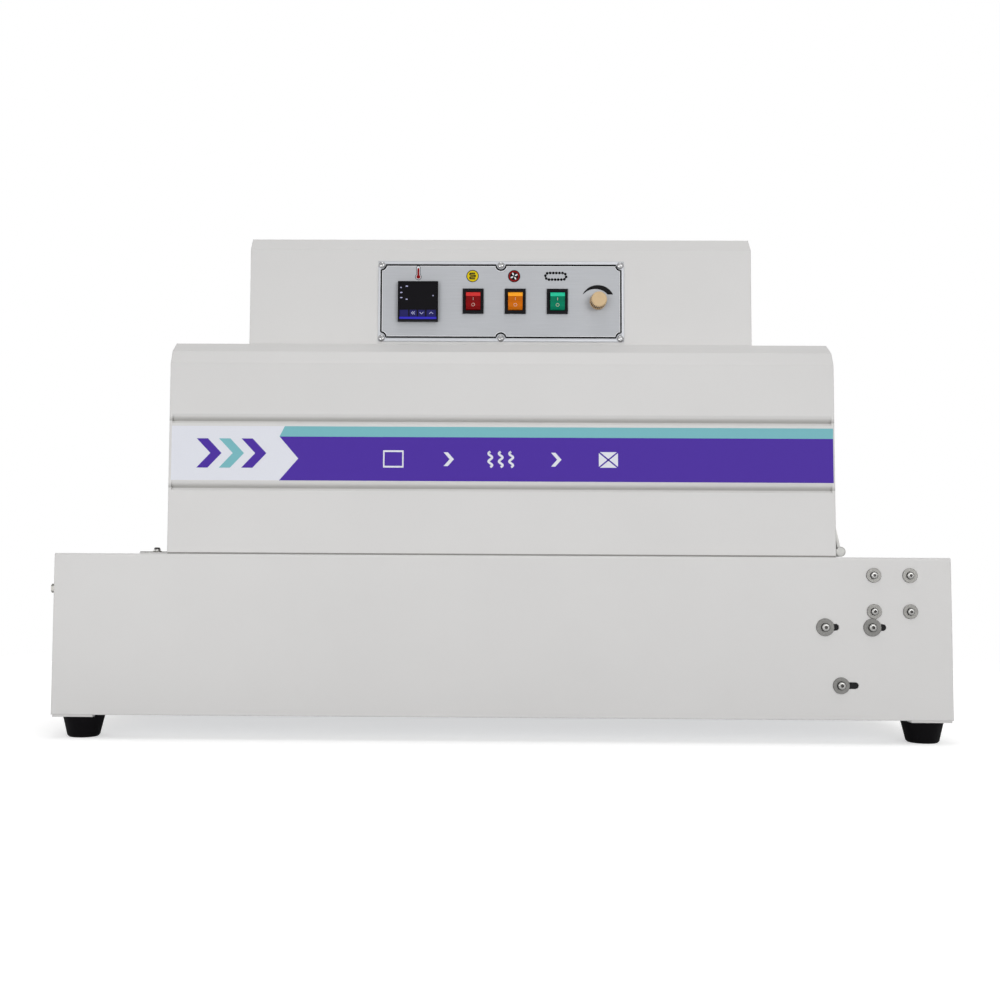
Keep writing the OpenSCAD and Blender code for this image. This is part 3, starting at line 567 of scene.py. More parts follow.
# %% Screws on the side panels
WASHER_ZINC = metal("washer_zinc", rgb(132, 131, 128), rgb(94, 93, 91), 0.3, scale=700)
DULL_ZINC = metal("dull_zinc", rgb(120, 119, 117), rgb(93, 93, 91), 0.42, scale=500)
BORE_R, WASHER_T = 2.8 * MM, 1.6 * MM
BEARING_PITCH = 20.4 * MM
MOTOR_SPOTS = ((76, 79, 10.0), (22.9, 79, 10.0), (58.8, 144.4, 9.3))


def middle(node):
    low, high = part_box(node)
    return (low + high) / 2


def screw_set(label, spot, side, ring_pattern, finish, head_pattern):
    """A washer and its cap screw on a side panel, pointing out of it."""
    ring, head = copy_of(ring_pattern), copy_of(head_pattern)
    stand(ring, spot, (0, side, 0))
    settle(ring, "washer_" + label, finish)
    stand(head, spot + Vector((0, side * WASHER_T, 0)), (0, side, 0))
    settle(head, "cap_screw_" + label, None)


shaft = middle("drive_bearings")
panel_front, panel_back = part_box("front_side_panel")[0].y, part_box("rear_side_panel")[1].y
base_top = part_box("front_side_panel")[1].z
ring, head = washer(8.3 * MM, BORE_R, WASHER_T), cap_screw(4.4 * MM, 2.7 * MM, 1.9 * MM)
for number, (across, up) in enumerate(((-1, 1), (1, 1), (-1, -1), (1, -1))):
    x, z = shaft.x + across * BEARING_PITCH, shaft.z + up * BEARING_PITCH
    screw_set(f"bearing_front_{number}", Vector((x, panel_front, z)), -1, ring, WASHER_ZINC, head)
    screw_set(f"bearing_back_{number}", Vector((x, panel_back, z)), 1, ring, WASHER_ZINC, head)
throw_away(ring, head)
head = cap_screw(5.0 * MM, 3.0 * MM, 2.1 * MM)
for number, (behind_shaft, below_top, outer) in enumerate(MOTOR_SPOTS):
    ring = washer(outer * MM, BORE_R, WASHER_T)
    spot = Vector((shaft.x - behind_shaft * MM, panel_front, base_top - below_top * MM))
    screw_set(f"motor_{number}", spot, -1, ring, DULL_ZINC, head)
    throw_away(ring)
throw_away(head)

# %% [markdown]
# Two tabs at the entry end hold the hood down on the base. Each has a thin steel shim under a small
# washer and a cap screw.

# %% Screws on the tabs
SHIM_STEEL = metal("shim_steel", rgb(118, 117, 112), rgb(90, 89, 86), 0.5, scale=300)
TAB_X, TAB_Y, TAB_T = -399 * MM, 187.3 * MM, 1.5 * MM
SHIM_SIZE = Vector((32 * MM, 27 * MM, 0.9 * MM))
TAB_WASHER_T = 0.8 * MM
UP = Vector((0, 0, 1))
ring, head = washer(5.2 * MM, BORE_R, TAB_WASHER_T), cap_screw(3.9 * MM, 4 * MM, 2.2 * MM)
for label, side in (("front", -1), ("back", 1)):
    spot = Vector((TAB_X, side * TAB_Y, base_top + TAB_T))
    shim = slab(SHIM_SIZE, spot + Vector((-0.5 * MM, 0, SHIM_SIZE.z / 2)), 0.25 * MM)
    settle(shim, f"tab_shim_{label}", SHIM_STEEL)
    tab_ring, tab_head = copy_of(ring), copy_of(head)
    stand(tab_ring, spot + UP * SHIM_SIZE.z, UP)
    stand(tab_head, spot + UP * (SHIM_SIZE.z + TAB_WASHER_T), UP)
    settle(tab_ring, f"washer_tab_{label}", FINISHES["zinc_steel"])
    settle(tab_head, f"cap_screw_tab_{label}", None)
throw_away(ring, head)
print("tabs' middle in mm:", round(TAB_X / MM), "and", round(TAB_Y / MM, 1), "to each side")

# %% [markdown]
# ## Rivets
# The end walls of the hood and the fan box are riveted through their flanges. A blind rivet's head is a
# flat dome with a small pit, turned on the lathe. On each end they stand in two columns and a top row,
# set in from the shell's edges, and all heads of an end are one piece.

# %% Rivets on the end walls
RIVET_MM = [(0, 0), (3.2, 0), (3.1, 0.35), (2.4, 0.8), (1.2, 0.95), (1.1, 0.75), (0, 0.7)]
RIVET_ROWS = {
    "hood_shell": {"inset": 12, "above_foot": (14, 90, 166), "below_top": 19, "across": (-130, 0, 130)},
    "fan_box": {"inset": 11, "above_foot": (15, 91), "below_top": 11, "across": (-90, 90)},
}
rivet = lathe([(r * MM, z * MM) for r, z in RIVET_MM], 24)
for node, rows in RIVET_ROWS.items():
    low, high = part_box(node)
    columns = (low.y + rows["inset"] * MM, high.y - rows["inset"] * MM)
    spots = [(y, low.z + up * MM) for y in columns for up in rows["above_foot"]]
    spots += [(y * MM, high.z - rows["below_top"] * MM) for y in rows["across"]]
    for label, side, edge in (("entry", -1, low.x), ("exit", 1, high.x)):
        heads = [copy_of(rivet) for spot in spots]
        for head, (y, z) in zip(heads, spots):
            stand(head, (edge, y, z), (side, 0, 0))
        settle(join(*heads), f"rivets_{node}_{label}", POWDER_COAT)
    print(node, "rivets on each end:", len(spots))
throw_away(rivet)

# %% [markdown]
# ## Printing
# A printed shape is a thin flat film. Its outline is a list of (x, z) corners in millimetres, put
# together from straight runs and arcs. A line with a width is two outlines, half a width to each side.


# %% Outlines
def arc(x, z, radius, start, end, steps=16):
    turns = [radians(start + (end - start) * i / steps) for i in range(steps + 1)]
    return [(x + radius * cos(turn), z + radius * sin(turn)) for turn in turns]


def disc(radius, corners):
    return arc(0, 0, radius, 0, 360 - 360 / corners, corners - 1)


def pad(width, height, r=0.6):
    """A rectangle with small round corners, round its own middle."""
    out = []
    for sx, sz, start in ((1, 1, 0), (-1, 1, 90), (-1, -1, 180), (1, -1, 270)):
        out += arc(sx * (width / 2 - r), sz * (height / 2 - r), r, start, start + 90, 4)
    return out


def sides(path, width, closed):
    """Two lines half a width to the left and to the right of a line."""
    left, right = [], []
    last = len(path) - 1
    for i, (x, z) in enumerate(path):
        x0, z0 = path[i - 1 if closed or i > 0 else 0]
        x1, z1 = path[(i + 1) % len(path) if closed else min(i + 1, last)]
        half = width / 2 / hypot(x1 - x0, z1 - z0)
        left.append((x - (z1 - z0) * half, z + (x1 - x0) * half))
        right.append((x + (z1 - z0) * half, z - (x1 - x0) * half))
    return left, right


def stroke(path, width):
    """The outline of an open line with a width."""
    left, right = sides(path, width, closed=False)
    return left + right[::-1]


# %% [markdown]
# A circle primitive with as many corners as the outline needs is a filled polygon already, so its corners
# only have to be moved into place and the face drawn out by a tenth of a millimetre. A closed line is two
# such loops with a bridge of faces between them. Printed layers lie on one another, each lifted by a
# film's thickness.

# %% Films
FILM_MM = 0.1
LIFT = FILM_MM * MM


def polygon(outline, y, filled=True):
    """A loop of corners given in millimetres as (x, z), standing upright at y."""
    deselect()
    bpy.ops.mesh.primitive_circle_add(vertices=len(outline), radius=0.01,
                                      fill_type="NGON" if filled else "NOTHING")
    obj = bpy.context.object
    for vertex, (x, z) in zip(obj.data.vertices, outline):
        vertex.co = (x * MM, y, z * MM)
    return obj


def draw_out(obj, thick):
    toward_viewer = {"value": (0, -thick * MM, 0)}
    editing(obj, lambda: bpy.ops.mesh.extrude_region_move(TRANSFORM_OT_translate=toward_viewer))
    return obj


def film(outline, y, thick=FILM_MM):
    return draw_out(polygon(outline, y), thick)


def ring_film(path, width, y, thick=FILM_MM):
    outer, inner = sides(path, width, closed=True)
    obj = join(polygon(outer, y, False), polygon(inner, y, False))
    editing(obj, bpy.ops.mesh.bridge_edge_loops)
    return draw_out(obj, thick)


# %% Inks
def ink(name, colour):
    print_coat = Finish(name, IOR=1.45, Specular_IOR_Level=0.1)
    fine = print_coat.noise(1200, 2)
    shade = tuple(c * 0.86 for c in colour[:3]) + (1.0,)
    print_coat.feed(Base_Color=print_coat.mix(fine * 0.5, colour, shade), Roughness=0.42 + fine * 0.12)
    return print_coat.bump(fine, 0.01 * MM, 0.4).material


BLACK_INK = ink("black_ink", rgb(13, 12, 14))
WHITE_INK = ink("white_ink", rgb(232, 233, 236))
GREY_INK = ink("grey_ink", rgb(84, 84, 88))
RED_INK = ink("red_ink", rgb(134, 12, 14))
YELLOW_INK = ink("yellow_ink", rgb(220, 194, 20))
print("inks:", [m.name for m in bpy.data.materials if m.name.endswith("_ink")])

# %% [markdown]
# ## Control plate
# The plate is brushed aluminium with a polished rim. A black frame line steps round the six screws in
# small arcs, and a fine white line just inside it is a painted highlight along its inner edge. All places
# on the plate are counted from its middle.

# %% Lines and rim of the control plate
plate_low, plate_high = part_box("control_plate")
PLATE_Y = plate_low.y
PLATE_X, PLATE_Z = (plate_low.x + plate_high.x) / 2 / MM, (plate_low.z + plate_high.z) / 2 / MM
RIM_POLISH = metal("rim_polish", rgb(190, 192, 196), rgb(170, 172, 177), 0.34, scale=900, shine=0.4)
LINE_X, LINE_TOP, LINE_LOW, STEP_R = 143.4, 43.8, -43.4, 6.0
LINE_W, FINE_W, FINE_INSET, RIM_W = 2.0, 0.6, 1.3, 2.4


def on_plate(points, x=0, z=0):
    return [(PLATE_X + x + px, PLATE_Z + z + pz) for px, pz in points]


frame_line = arc(LINE_X, LINE_TOP, STEP_R, 180, 270, 8) + arc(LINE_X, LINE_LOW, STEP_R, 90, 180, 8)
frame_line += arc(0, LINE_LOW - 0.8, STEP_R, 8, 172, 14)
frame_line += arc(-LINE_X, LINE_LOW, STEP_R, 0, 90, 8) + arc(-LINE_X, LINE_TOP, STEP_R, 270, 360, 8)
frame_line += arc(0, LINE_TOP, STEP_R, 180, 360, 14)
painted_highlight_line = sides(frame_line, 2 * FINE_INSET, closed=True)[1]
rim_line = pad(2 * LINE_X + 4.2, LINE_TOP - LINE_LOW + 6.2, 1.6)
settle(ring_film(on_plate(frame_line), LINE_W, PLATE_Y), "plate_frame_line", BLACK_INK)
# the fine white line is a painted highlight just inside the frame line
settle(ring_film(on_plate(painted_highlight_line), FINE_W, PLATE_Y), "plate_fine_line", WHITE_INK)
settle(ring_film(on_plate(rim_line), RIM_W, PLATE_Y), "plate_rim", RIM_POLISH)
print("frame line corners:", len(frame_line))

# %% [markdown]
# Six domed cross-head screws hold the plate, four in the corners and two in the middle. The head is a
# lathe turning, and two thin blocks cut the cross.

# %% Screws of the control plate
CHROME = metal("chrome_screw", rgb(176, 176, 176), rgb(132, 132, 134), 0.14, scale=500)
DOME_R, DOME_H, DOME_RIM = 4.0 * MM, 2.3 * MM, 0.3 * MM
SCREW_X, SCREW_ROWS = LINE_X - 0.7, (43.8, -44.8)
dome = [(DOME_R * cos(a), DOME_RIM + (DOME_H - DOME_RIM) * sin(a)) for a in (0.3, 0.6, 0.9, 1.2)]
pattern = lathe([(0, 0), (DOME_R, 0), (DOME_R, DOME_RIM), *dome, (0, DOME_H)], 40)
for spin in (0.25, 0.25 + pi / 2):
    deselect()
    bpy.ops.mesh.primitive_cube_add(size=1, location=(0, 0, DOME_H), rotation=(0, 0, spin),
                                    scale=(4.4 * MM, 1.1 * MM, 3.0 * MM))
    cut_with(pattern, bpy.context.object)
for column, x in enumerate((-SCREW_X, 0, SCREW_X)):
    for row, z in enumerate(SCREW_ROWS):
        screw = copy_of(pattern)
        stand(screw, ((PLATE_X + x) * MM, PLATE_Y, (PLATE_Z + z) * MM), (0, -1, 0))
        settle(screw, f"plate_screw_{column}_{row}", CHROME)
throw_away(pattern)
print("plate screws:", 3 * len(SCREW_ROWS))

# %% [markdown]
# ## Pictograms
# Over the controller and the rockers stand four signs: a thermometer, a heater coil, a fan and a loop of
# conveyor rollers. Each is a stack of films: a dark rim, a coloured field and the sign, every layer a
# tenth of a millimetre above the one below.


# %% Thermometer
def sign(name, outlines, colour, layer):
    """One or more films in one colour as one piece, on a layer of the plate's printing."""
    films = [film(outline, PLATE_Y - layer * LIFT) for outline in outlines]
    return settle(join(*films), name, colour)


def keyhole(top_r, bulb_r, height):
    """A thermometer's outline round its own middle: a straight tube over a round bulb."""
    low, high = -height / 2 + bulb_r, height / 2 - top_r
    spread = 90 - degrees(atan2(top_r, (bulb_r ** 2 - top_r ** 2) ** 0.5))
    return arc(0, high, top_r, 0, 180, 10) + arc(0, low, bulb_r, 180 - spread, 360 + spread, 22)


THERMO_X, THERMO_Z = -99.0, 34.4
sign("thermometer_rim", [on_plate(keyhole(2.5, 3.9, 17.8), THERMO_X, THERMO_Z)], GREY_INK, 0)
sign("thermometer_tube", [on_plate(keyhole(1.7, 3.0, 16.0), THERMO_X, THERMO_Z)], WHITE_INK, 1)
sign("thermometer_red", [on_plate(keyhole(1.2, 2.4, 13.0), THERMO_X, THERMO_Z - 0.8)], RED_INK, 2)
print("thermometer at", THERMO_X, THERMO_Z, "mm from the plate's middle")

# %% Heater coil
COIL_X, FAN_X, CHAIN_X, SIGN_Z = -34.0, 15.8, 65.6, 30.6
RIM_DISC, FIELD_DISC = disc(7.4, 45), disc(6.5, 45)
TURN_R, TURN_X, COIL_END = 1.1, 2.2, 3.0
coil = [(COIL_END, 3 * TURN_R)]
for row, side in ((2, -1), (0, 1), (-2, -1)):
    start, end = (90, 270) if side < 0 else (90, -90)
    coil += [(side * TURN_X, (row + 1) * TURN_R)] + arc(side * TURN_X, row * TURN_R, TURN_R, start, end, 6)
coil += [(COIL_END, -3 * TURN_R)]
sign("heater_rim", [on_plate(RIM_DISC, COIL_X, SIGN_Z)], BLACK_INK, 0)
sign("heater_field", [on_plate(FIELD_DISC, COIL_X, SIGN_Z)], YELLOW_INK, 1)
sign("heater_coil", [on_plate(stroke(coil, 1.5), COIL_X, SIGN_Z)], BLACK_INK, 2)
print("coil corners:", len(coil))

# %% Fan
blade = [(0.7, 0.4), (1.9, 0.2), (3.2, 0.6), (4.2, 1.5), (4.0, 2.4), (3.2, 2.5), (2.0, 2.1), (1.1, 1.3)]
blades = []
for quarter in range(4):
    c, s = cos(radians(90 * quarter)), sin(radians(90 * quarter))
    blades.append(on_plate([(x * c - z * s, x * s + z * c) for x, z in blade], FAN_X, SIGN_Z))
sign("fan_rim", [on_plate(RIM_DISC, FAN_X, SIGN_Z)], BLACK_INK, 0)
sign("fan_field", [on_plate(FIELD_DISC, FAN_X, SIGN_Z)], RED_INK, 1)
sign("fan_shade", [on_plate(disc(4.9, 36), FAN_X, SIGN_Z)], BLACK_INK, 2)
sign("fan_blades", blades, WHITE_INK, 3)
sign("fan_hub", [on_plate(disc(1.0, 24), FAN_X, SIGN_Z)], BLACK_INK, 4)
print("fan blades:", len(blades))

# %% [markdown]
# The conveyor sign is a thin loop with round rollers on it. To space them evenly, the loop's length is
# added up corner by corner, and each roller's place is looked up along it.

# %% Conveyor loop
LOOP_X, LOOP_R, ROLLERS, ROLLER_R = 8.5, 4.0, 16, 1.65
loop = arc(LOOP_X, 0, LOOP_R, -90, 90, 12) + arc(-LOOP_X, 0, LOOP_R, 90, 270, 12)
lengths = [0.0]
for (x0, z0), (x1, z1) in zip(loop, loop[1:] + loop[:1]):
    lengths.append(lengths[-1] + hypot(x1 - x0, z1 - z0))


def along(distance):
    for i in range(len(loop)):
        if distance <= lengths[i + 1]:
            t = (distance - lengths[i]) / (lengths[i + 1] - lengths[i])
            (x0, z0), (x1, z1) = loop[i], loop[(i + 1) % len(loop)]
            return x0 + (x1 - x0) * t, z0 + (z1 - z0) * t


spots = [along(lengths[-1] * (i + 0.5) / ROLLERS) for i in range(ROLLERS)]
dots = [on_plate(disc(ROLLER_R, 12), CHAIN_X + x, SIGN_Z + z) for x, z in spots]
settle(ring_film(on_plate(loop, CHAIN_X, SIGN_Z), 0.8, PLATE_Y), "conveyor_loop", BLACK_INK)
sign("conveyor_dots", dots, BLACK_INK, 1)
print("loop length in mm:", round(lengths[-1], 1))

# %% [markdown]
# A tapering arc over the knob shows which way the speed goes up. It is what two circles leave between
# them: a large one round the knob and a smaller one moved down to the left, both cut off level.

# %% Speed arc
CUT_Z, OUTER_R, INNER_R, INNER_X, INNER_Z = 8.8, 20.2, 19.6, -3.0, -4.2


def angle_at(rise, radius):
    """Where a circle reaches a height above its middle."""
    return degrees(atan2(rise, (radius ** 2 - rise ** 2) ** 0.5))


knob_x = knob_mid.x / MM - PLATE_X
outer_end, inner_end = angle_at(CUT_Z, OUTER_R), angle_at(CUT_Z - INNER_Z, INNER_R)
crescent = arc(0, 0, OUTER_R, 180 - outer_end, outer_end, 28)
crescent += arc(INNER_X, INNER_Z, INNER_R, inner_end, 178 - inner_end, 28)
sign("speed_arc", [on_plate(crescent, knob_x)], BLACK_INK, 0)
print("speed arc from", round(180 - outer_end), "to", round(outer_end), "degrees")

# %% [markdown]
# ## Temperature controller
# The controller is a black square with a dark window. Along its foot runs a row of four soft keys over
# a bright blue stripe. Small lamps sit in the window's left edge. The keys carry plain arrows only.
# Window, keys and stripe are thicker films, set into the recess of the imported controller.

# %% Controller face
GLASS = plastic("controller_glass", rgb(18, 17, 21), rgb(12, 11, 14), 0.25, 300, 0.01 * MM, gloss=0.06)
KEY_BLUE = plastic("key_blue", rgb(38, 36, 98), rgb(31, 29, 84), 0.4, 800, gloss=0.1)
STRIPE_BLUE = ink("stripe_blue", rgb(58, 52, 196))
CTRL_X, CTRL_Z = middle("temperature_controller").x / MM, middle("temperature_controller").z / MM
CTRL_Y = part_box("temperature_controller")[0].y + 1.2 * MM
FACE_W, GLASS_T, KEY_T, KEY_Z = 44.2, 0.5, 0.9, -14.4
KEYS = ((-16.6, 10.0), (-5.6, 8.4), (4.4, 8.2), (15.9, 11.0))


def on_ctrl(points, x, z):
    return [(CTRL_X + x + px, CTRL_Z + z + pz) for px, pz in points]


def face(name, outlines, colour, lift, thick):
    films = [film(outline, CTRL_Y - lift * MM, thick) for outline in outlines]
    return settle(join(*films), name, colour)


face("controller_window", [on_ctrl(pad(FACE_W, 32.0), 0, 6.0)], GLASS, 0, GLASS_T)
face("controller_keys", [on_ctrl(pad(width, 7.4), x, KEY_Z) for x, width in KEYS], KEY_BLUE, 0, KEY_T)
face("controller_stripe", [on_ctrl(pad(FACE_W, 2.7, 0.3), 0, -20.2)], STRIPE_BLUE, 0, 0.4)
print("controller keys:", len(KEYS))

# %% Arrows and lamps of the controller
LILAC_INK = ink("lilac_ink", rgb(190, 192, 228))
MARK_T, ARROW_W = 0.08, 0.7
up_arrow = [(-2.2, -1.0), (0, 1.2), (2.2, -1.0)]
down_arrow = [(x, -z) for x, z in up_arrow]
left_arrow = [(0.6, 1.7), (-1.3, 0), (0.6, -1.7)]
ARROWS = ((up_arrow, 15.9), (down_arrow, 4.4), (left_arrow, -6.4), (left_arrow, -4.2))
arrows = [on_ctrl(stroke(path, ARROW_W), x, KEY_Z) for path, x in ARROWS]
face("controller_arrows", arrows, LILAC_INK, KEY_T, MARK_T)
LAMPS = ((-20.2, 16.3, 1.6), (-19.9, 10.3, 2.4), (-19.9, 4.1, 2.6),
         (-13.3, 18.0, 2.8), (-13.5, 2.1, 2.4), (18.0, 6.6, 1.4))
lamps = [on_ctrl(pad(width, 1.2, 0.3), x, z) for x, z, width in LAMPS]
face("controller_lamps", lamps, LILAC_INK, GLASS_T, MARK_T)
print("controller arrows:", len(arrows), "lamps:", len(lamps))

# %% [markdown]
# ## Rocker marks
# Each rocker carries a bar above and a ring below. A rocker's front is two flats that meet in a shallow
# valley, and at rest the whole rocker is tipped with its lower end pressed in. The marks are made flat,
# tilted to their flat and then tipped with the rocker about its pin.

# %% Bars and rings on the rockers
MARK_INK = ink("mark_ink", rgb(214, 194, 182))
TILT = radians(9)
VALLEY, CREST, CREST_Z = 5.0, 7.2, 6.2
SLOPE = atan2(CREST - VALLEY, CREST_Z)
BAR_Z, RING_Z = 3.0, -4.1
bar = film([(-0.25, -1.7), (0.25, -1.7), (0.25, 1.7), (-0.25, 1.7)], 0, MARK_T)
ring = ring_film(disc(1.85, 24), 0.45, 0, MARK_T)
pivots = {j["child"]: Vector(j["pos_m"]) for j in frame["record"]["behaviour"]["joints"]}
for colour in ("red", "orange", "green"):
    body = colour + "_rocker"
    for label, pattern, height in (("bar", bar, BAR_Z), ("ring", ring, RING_Z)):
        mark = copy_of(pattern)
        proud = VALLEY + abs(height) * (CREST - VALLEY) / CREST_Z
        to_flat = Matrix.Rotation(SLOPE if height > 0 else -SLOPE, 4, "X")
        to_place = Matrix.Translation((0, -proud * MM, height * MM))
        with_rocker = Matrix.Translation(pivots[body]) @ Matrix.Rotation(TILT, 4, "X")
        mark.data.transform(with_rocker @ to_place @ to_flat)
        settle(mark, f"{colour}_rocker_{label}", MARK_INK, body)
throw_away(bar, ring)
print("flats lean", round(degrees(SLOPE), 1), "degrees")

# %% [markdown]
# ## Label
# A long printed label lies between the two pressed grooves of the hood. It carries a generic band: a
# white field with direction chevrons, a violet field and a teal rule. Its edges are counted from the
# hood's ends and foot.

# %% Fields of the label
VIOLET = ink("violet_film", rgb(78, 50, 160))
TEAL = ink("teal_film", rgb(124, 186, 194))
LABEL_WHITE = ink("label_white", rgb(226, 228, 236))
hood_front = hood_low.y
LEFT, RIGHT = hood_low.x / MM + 2.8, hood_high.x / MM - 1.6
LOW, TOP = hood_low.z / MM + 85.1, hood_low.z / MM + 148
RULE, BAND_X, BAND_POINT, RULE_SLANT = TOP - 12, -256, 22, 6
BAND_Z, LABEL_Z = (LOW + RULE) / 2, (LOW + TOP) / 2
CHEVRON_X, CHEVRON_STEP, CHEVRON_W, CHEVRON_REACH, CHEVRON_HALF = -352, 26, 13, 16, 17


def label_film(name, outlines, colour, layer):
    films = [film(outline, hood_front - layer * LIFT) for outline in outlines]
    settle(join(*films), name, colour)


def chevron(x, width, reach, low, high):
    centre = (low + high) / 2
    return [(x, low), (x + width, low), (x + width + reach, centre),
            (x + width, high), (x, high), (x + reach, centre)]


label_film("label_base", [[(LEFT, LOW), (RIGHT, LOW), (RIGHT, TOP), (LEFT, TOP)]], LABEL_WHITE, 0)
violet_band = [(BAND_X, LOW), (RIGHT, LOW), (RIGHT, RULE), (BAND_X, RULE), (BAND_X + BAND_POINT, BAND_Z)]
label_film("label_violet", [violet_band], VIOLET, 1)
teal_rule = [(BAND_X, RULE), (RIGHT, RULE), (RIGHT, TOP), (BAND_X + RULE_SLANT, TOP)]
label_film("label_teal", [teal_rule], TEAL, 1)
chevrons = [chevron(CHEVRON_X + CHEVRON_STEP * i, CHEVRON_W, CHEVRON_REACH,
                    LABEL_Z - CHEVRON_HALF, LABEL_Z + CHEVRON_HALF) for i in range(3)]
label_film("label_chevrons", [chevrons[0], chevrons[2]], VIOLET, 1)
print("label in mm:", round(RIGHT - LEFT, 1), "by", round(TOP - LOW, 1))

# %% [markdown]
# A row of signs on the violet field tells what the machine does: an open pack, warm air, a wrapped pack,
# with an arrow between each two.

# %% Signs on the label
PACK_X, ARROW_X, PACK_W, PACK_H = 124, 62, 11, 9
pack = [(-PACK_W, -PACK_H), (PACK_W, -PACK_H), (PACK_W, PACK_H), (-PACK_W, PACK_H)]
wave = [(2.2 * sin(radians(a)), a / 40 - PACK_H) for a in range(0, 721, 30)]
folds = [stroke([pack[0], pack[2]], 1.6), stroke([pack[3], pack[1]], 1.6)]


def on_band(points, x):
    return [(px + x, pz + BAND_Z) for px, pz in points]


arrow = chevron(-4, 5, 7, -8, 8)
label_film("label_arrows", [on_band(arrow, x) for x in (-ARROW_X, ARROW_X)], LABEL_WHITE, 2)
label_film("label_waves", [on_band(stroke(wave, 2.6), x) for x in (-12, 0, 12)], LABEL_WHITE, 2)
label_film("label_pack", [on_band(pack, PACK_X)], LABEL_WHITE, 2)
label_film("label_pack_film", [on_band(fold, PACK_X) for fold in folds], VIOLET, 3)
settle(ring_film(on_band(pack, -PACK_X), 2.6, hood_front - 2 * LIFT), "label_open_pack", LABEL_WHITE)
label_film("label_chevron_teal", [chevrons[1]], TEAL, 1)

# %% [markdown]
# ## Shadow line under the hood
# A thin grey strip where the hood stands on the base, at the front and the back, is a painted shadow: it
# stands in for the shade in the narrow gap between hood and base.

# %% Painted shadow strip under the hood
SHADOW_STRIP_PAINT = plastic("painted_gap_shadow", rgb(150, 149, 146), rgb(132, 131, 128), 0.7)
SHADOW_STRIP_SIZE = Vector((767 * MM, 0.6 * MM, 1.8 * MM))
for label, side in (("front", -1), ("back", 1)):
    spot = Vector((0, side * (abs(hood_front) + 0.1 * MM), base_top + SHADOW_STRIP_SIZE.z / 2))
    shadow_strip = slab(SHADOW_STRIP_SIZE, spot, 0.15 * MM)
    settle(shadow_strip, "hood_gap_shadow_" + label, SHADOW_STRIP_PAINT)
print("seal length in mm:", round(SHADOW_STRIP_SIZE.x / MM))

# %% [markdown]
# ## Curtains
# Coated glass cloth hangs over a bar inside each mouth and keeps the heat in. Its weave is two crossed
# waves that only lift the surface, because the coating hides the colour of the threads.

# %% Coated cloth
cloth = Finish("curtain_cloth", Specular_IOR_Level=0.4)
weave = {"Vector": cloth.place, "Scale": 420.0, "Distortion": 0.6}
warp = cloth.node("ShaderNodeTexWave", {"wave_type": "BANDS", "bands_direction": "Y"}, weave)
weft = cloth.node("ShaderNodeTexWave", {"wave_type": "BANDS", "bands_direction": "Z"}, weave)
clouds = cloth.noise(12, 4)
cloth.feed(Base_Color=cloth.mix(clouds * 0.7, rgb(214, 214, 210), rgb(194, 193, 188)),
           Roughness=0.42 + clouds * 0.16)
CLOTH = cloth.bump(warp + weft, 0.08 * MM).material
HEM = plastic("hem_weight", rgb(238, 238, 235), rgb(226, 226, 222), 0.5)
print("cloth:", len(cloth.tree.nodes), "nodes")

# %% [markdown]
# The cloth wraps the bar, falls the way the goods travel, and ends in a hem rolled round a rod. Seen from
# the side that is one path, and the cloth is a grid whose rows follow it, so every row keeps its length.
# A cloth simulation would settle into folds that the stiff coating doesn't allow.

# %% Path and cloth of a curtain
CLOTH_T, BAR_R, ROD_R, SLIP = 0.8, 3.2, 5.2, 0.4
WRAP_ROWS, FALL_ROWS, COLUMNS = 16, 24, 36
WRAP_STEP, BAR_START, ROD_START = radians(20), radians(40), radians(160)


def curtain_path(drop, lean):
    """(x, z) in millimetres from the bar's middle: a pocket round the bar, down, a pocket round the rod."""
    length = hypot(lean, drop)
    fall = Vector((lean, -drop)) / length
    down = atan2(fall.y, fall.x)
    top_r, hem_r = BAR_R + CLOTH_T / 2, ROD_R + CLOTH_T / 2
    round_bar = [down + BAR_START + WRAP_STEP * i for i in range(WRAP_ROWS)]
    round_rod = [down + ROD_START - WRAP_STEP * i for i in range(WRAP_ROWS)]
    straight = length - top_r - hem_r - 2 * SLIP
    hem = fall * length
    path = [(top_r * cos(a), top_r * sin(a)) for a in round_bar]
    path += [tuple(fall * (top_r + SLIP + straight * i / FALL_ROWS)) for i in range(FALL_ROWS + 1)]
    return path + [(hem.x + hem_r * cos(a), hem.y + hem_r * sin(a)) for a in round_rod]


def hang_cloth(path, width, top):
    """A grid with one row on each point of the path. Between its pockets the cloth ripples a little."""
    deselect()
    last = len(path) - 1
    bpy.ops.mesh.primitive_grid_add(x_subdivisions=COLUMNS, y_subdivisions=last, size=1)
    for vertex in bpy.context.object.data.vertices:
        row = round((vertex.co.y + 0.5) * last)
        x, z = path[row]
        fallen = min(max((row - WRAP_ROWS) / FALL_ROWS, 0), 1)
        y = vertex.co.x * width
        ripple = 0.8 * sin(y * 43 + 1.3) + 0.4 * sin(y * 91)
        x += sin(pi * fallen) * ripple
        vertex.co = (top.x + x * MM, y, top.z + z * MM)
    return bpy.context.object


# %% [markdown]
# A rod weighs the hem down, and a folded tape binds each side of the cloth. Both ride with the curtain,
# so they swing with it.


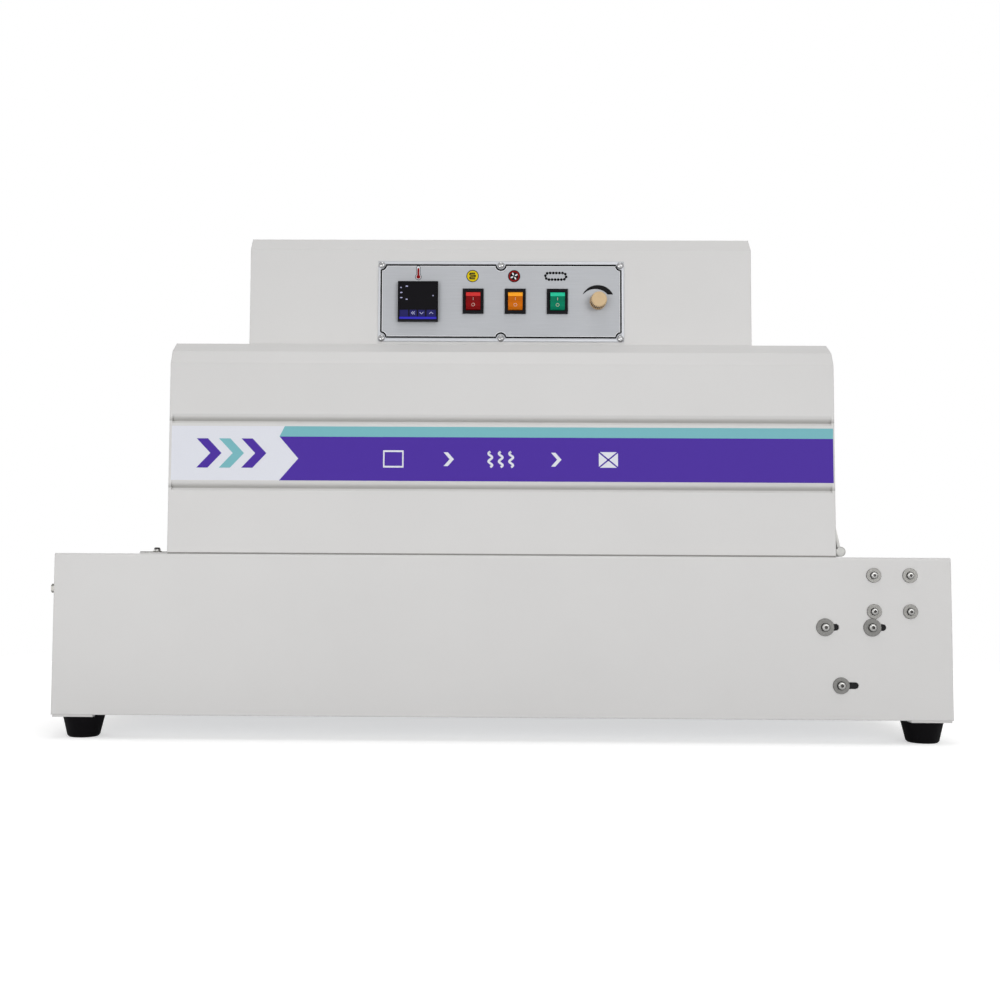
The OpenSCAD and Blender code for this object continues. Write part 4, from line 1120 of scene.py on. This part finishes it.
# %% Hem rod and bindings
def hem_rod(width):
    radius, edge = (ROD_R - 0.1) * MM, 0.4 * MM
    return lathe([(0, 0), (ROD_R * MM - edge, 0), (radius, edge),
                  (radius, width - edge), (ROD_R * MM - edge, width), (0, width)], 32)


TAPE_T, TAPE_W, TAPE_INSET, TAPE_BACK = 4.0 * MM, 8 * MM, 3.8 * MM, 0.6 * MM
BELOW_BAR, ABOVE_ROD = 7 * MM, 5 * MM


def bindings(label, body, top, width, drop, lean):
    run = hypot(lean, drop) * MM - BELOW_BAR - ABOVE_ROD
    pattern = slab((TAPE_T, TAPE_W, run), (0, 0, 0), 1.0 * MM, 3)
    edges = []
    for end, side in (("front", -1), ("back", 1)):
        tape = copy_of(pattern)
        beside = Matrix.Translation((-TAPE_BACK, side * (width / 2 - TAPE_INSET), -BELOW_BAR - run / 2))
        tape.data.transform(Matrix.Translation(top) @ Matrix.Rotation(-atan2(lean, drop), 4, "Y") @ beside)
        edges.append(settle(tape, f"binding_{label}_{end}", HEM, body))
    throw_away(pattern)
    return edges


# %% [markdown]
# Each curtain takes its width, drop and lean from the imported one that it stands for. The cut length is
# added up along the path, and the cloth gets its thickness last.

# %% Hang the curtains
ROOM = ROD_R + CLOTH_T + 0.2


def curtain(label):
    body = label + "_curtain"
    top = pivots[body]
    low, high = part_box(body)
    width = high.y - low.y
    drop, lean = (top.z - low.z) / MM - ROOM, (high.x - top.x) / MM - ROOM
    path = curtain_path(drop, lean)
    length = sum(hypot(b[0] - a[0], b[1] - a[1]) for a, b in zip(path, path[1:])) * MM
    obj = settle(hang_cloth(path, width, top), "cloth_" + label, CLOTH, body, 60)
    apply_modifier(obj, "SOLIDIFY", thickness=CLOTH_T * MM, offset=0.0)
    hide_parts(body)
    rod = hem_rod(width)
    stand(rod, (top.x + lean * MM, -width / 2, top.z - drop * MM), (0, 1, 0))
    settle(rod, "hem_rod_" + label, HEM, body)
    edges = bindings(label, body, top, width, drop, lean)
    print(body, "width", round(width / MM), "cut length", round(length / MM, 1))


curtain("entry")
curtain("exit")
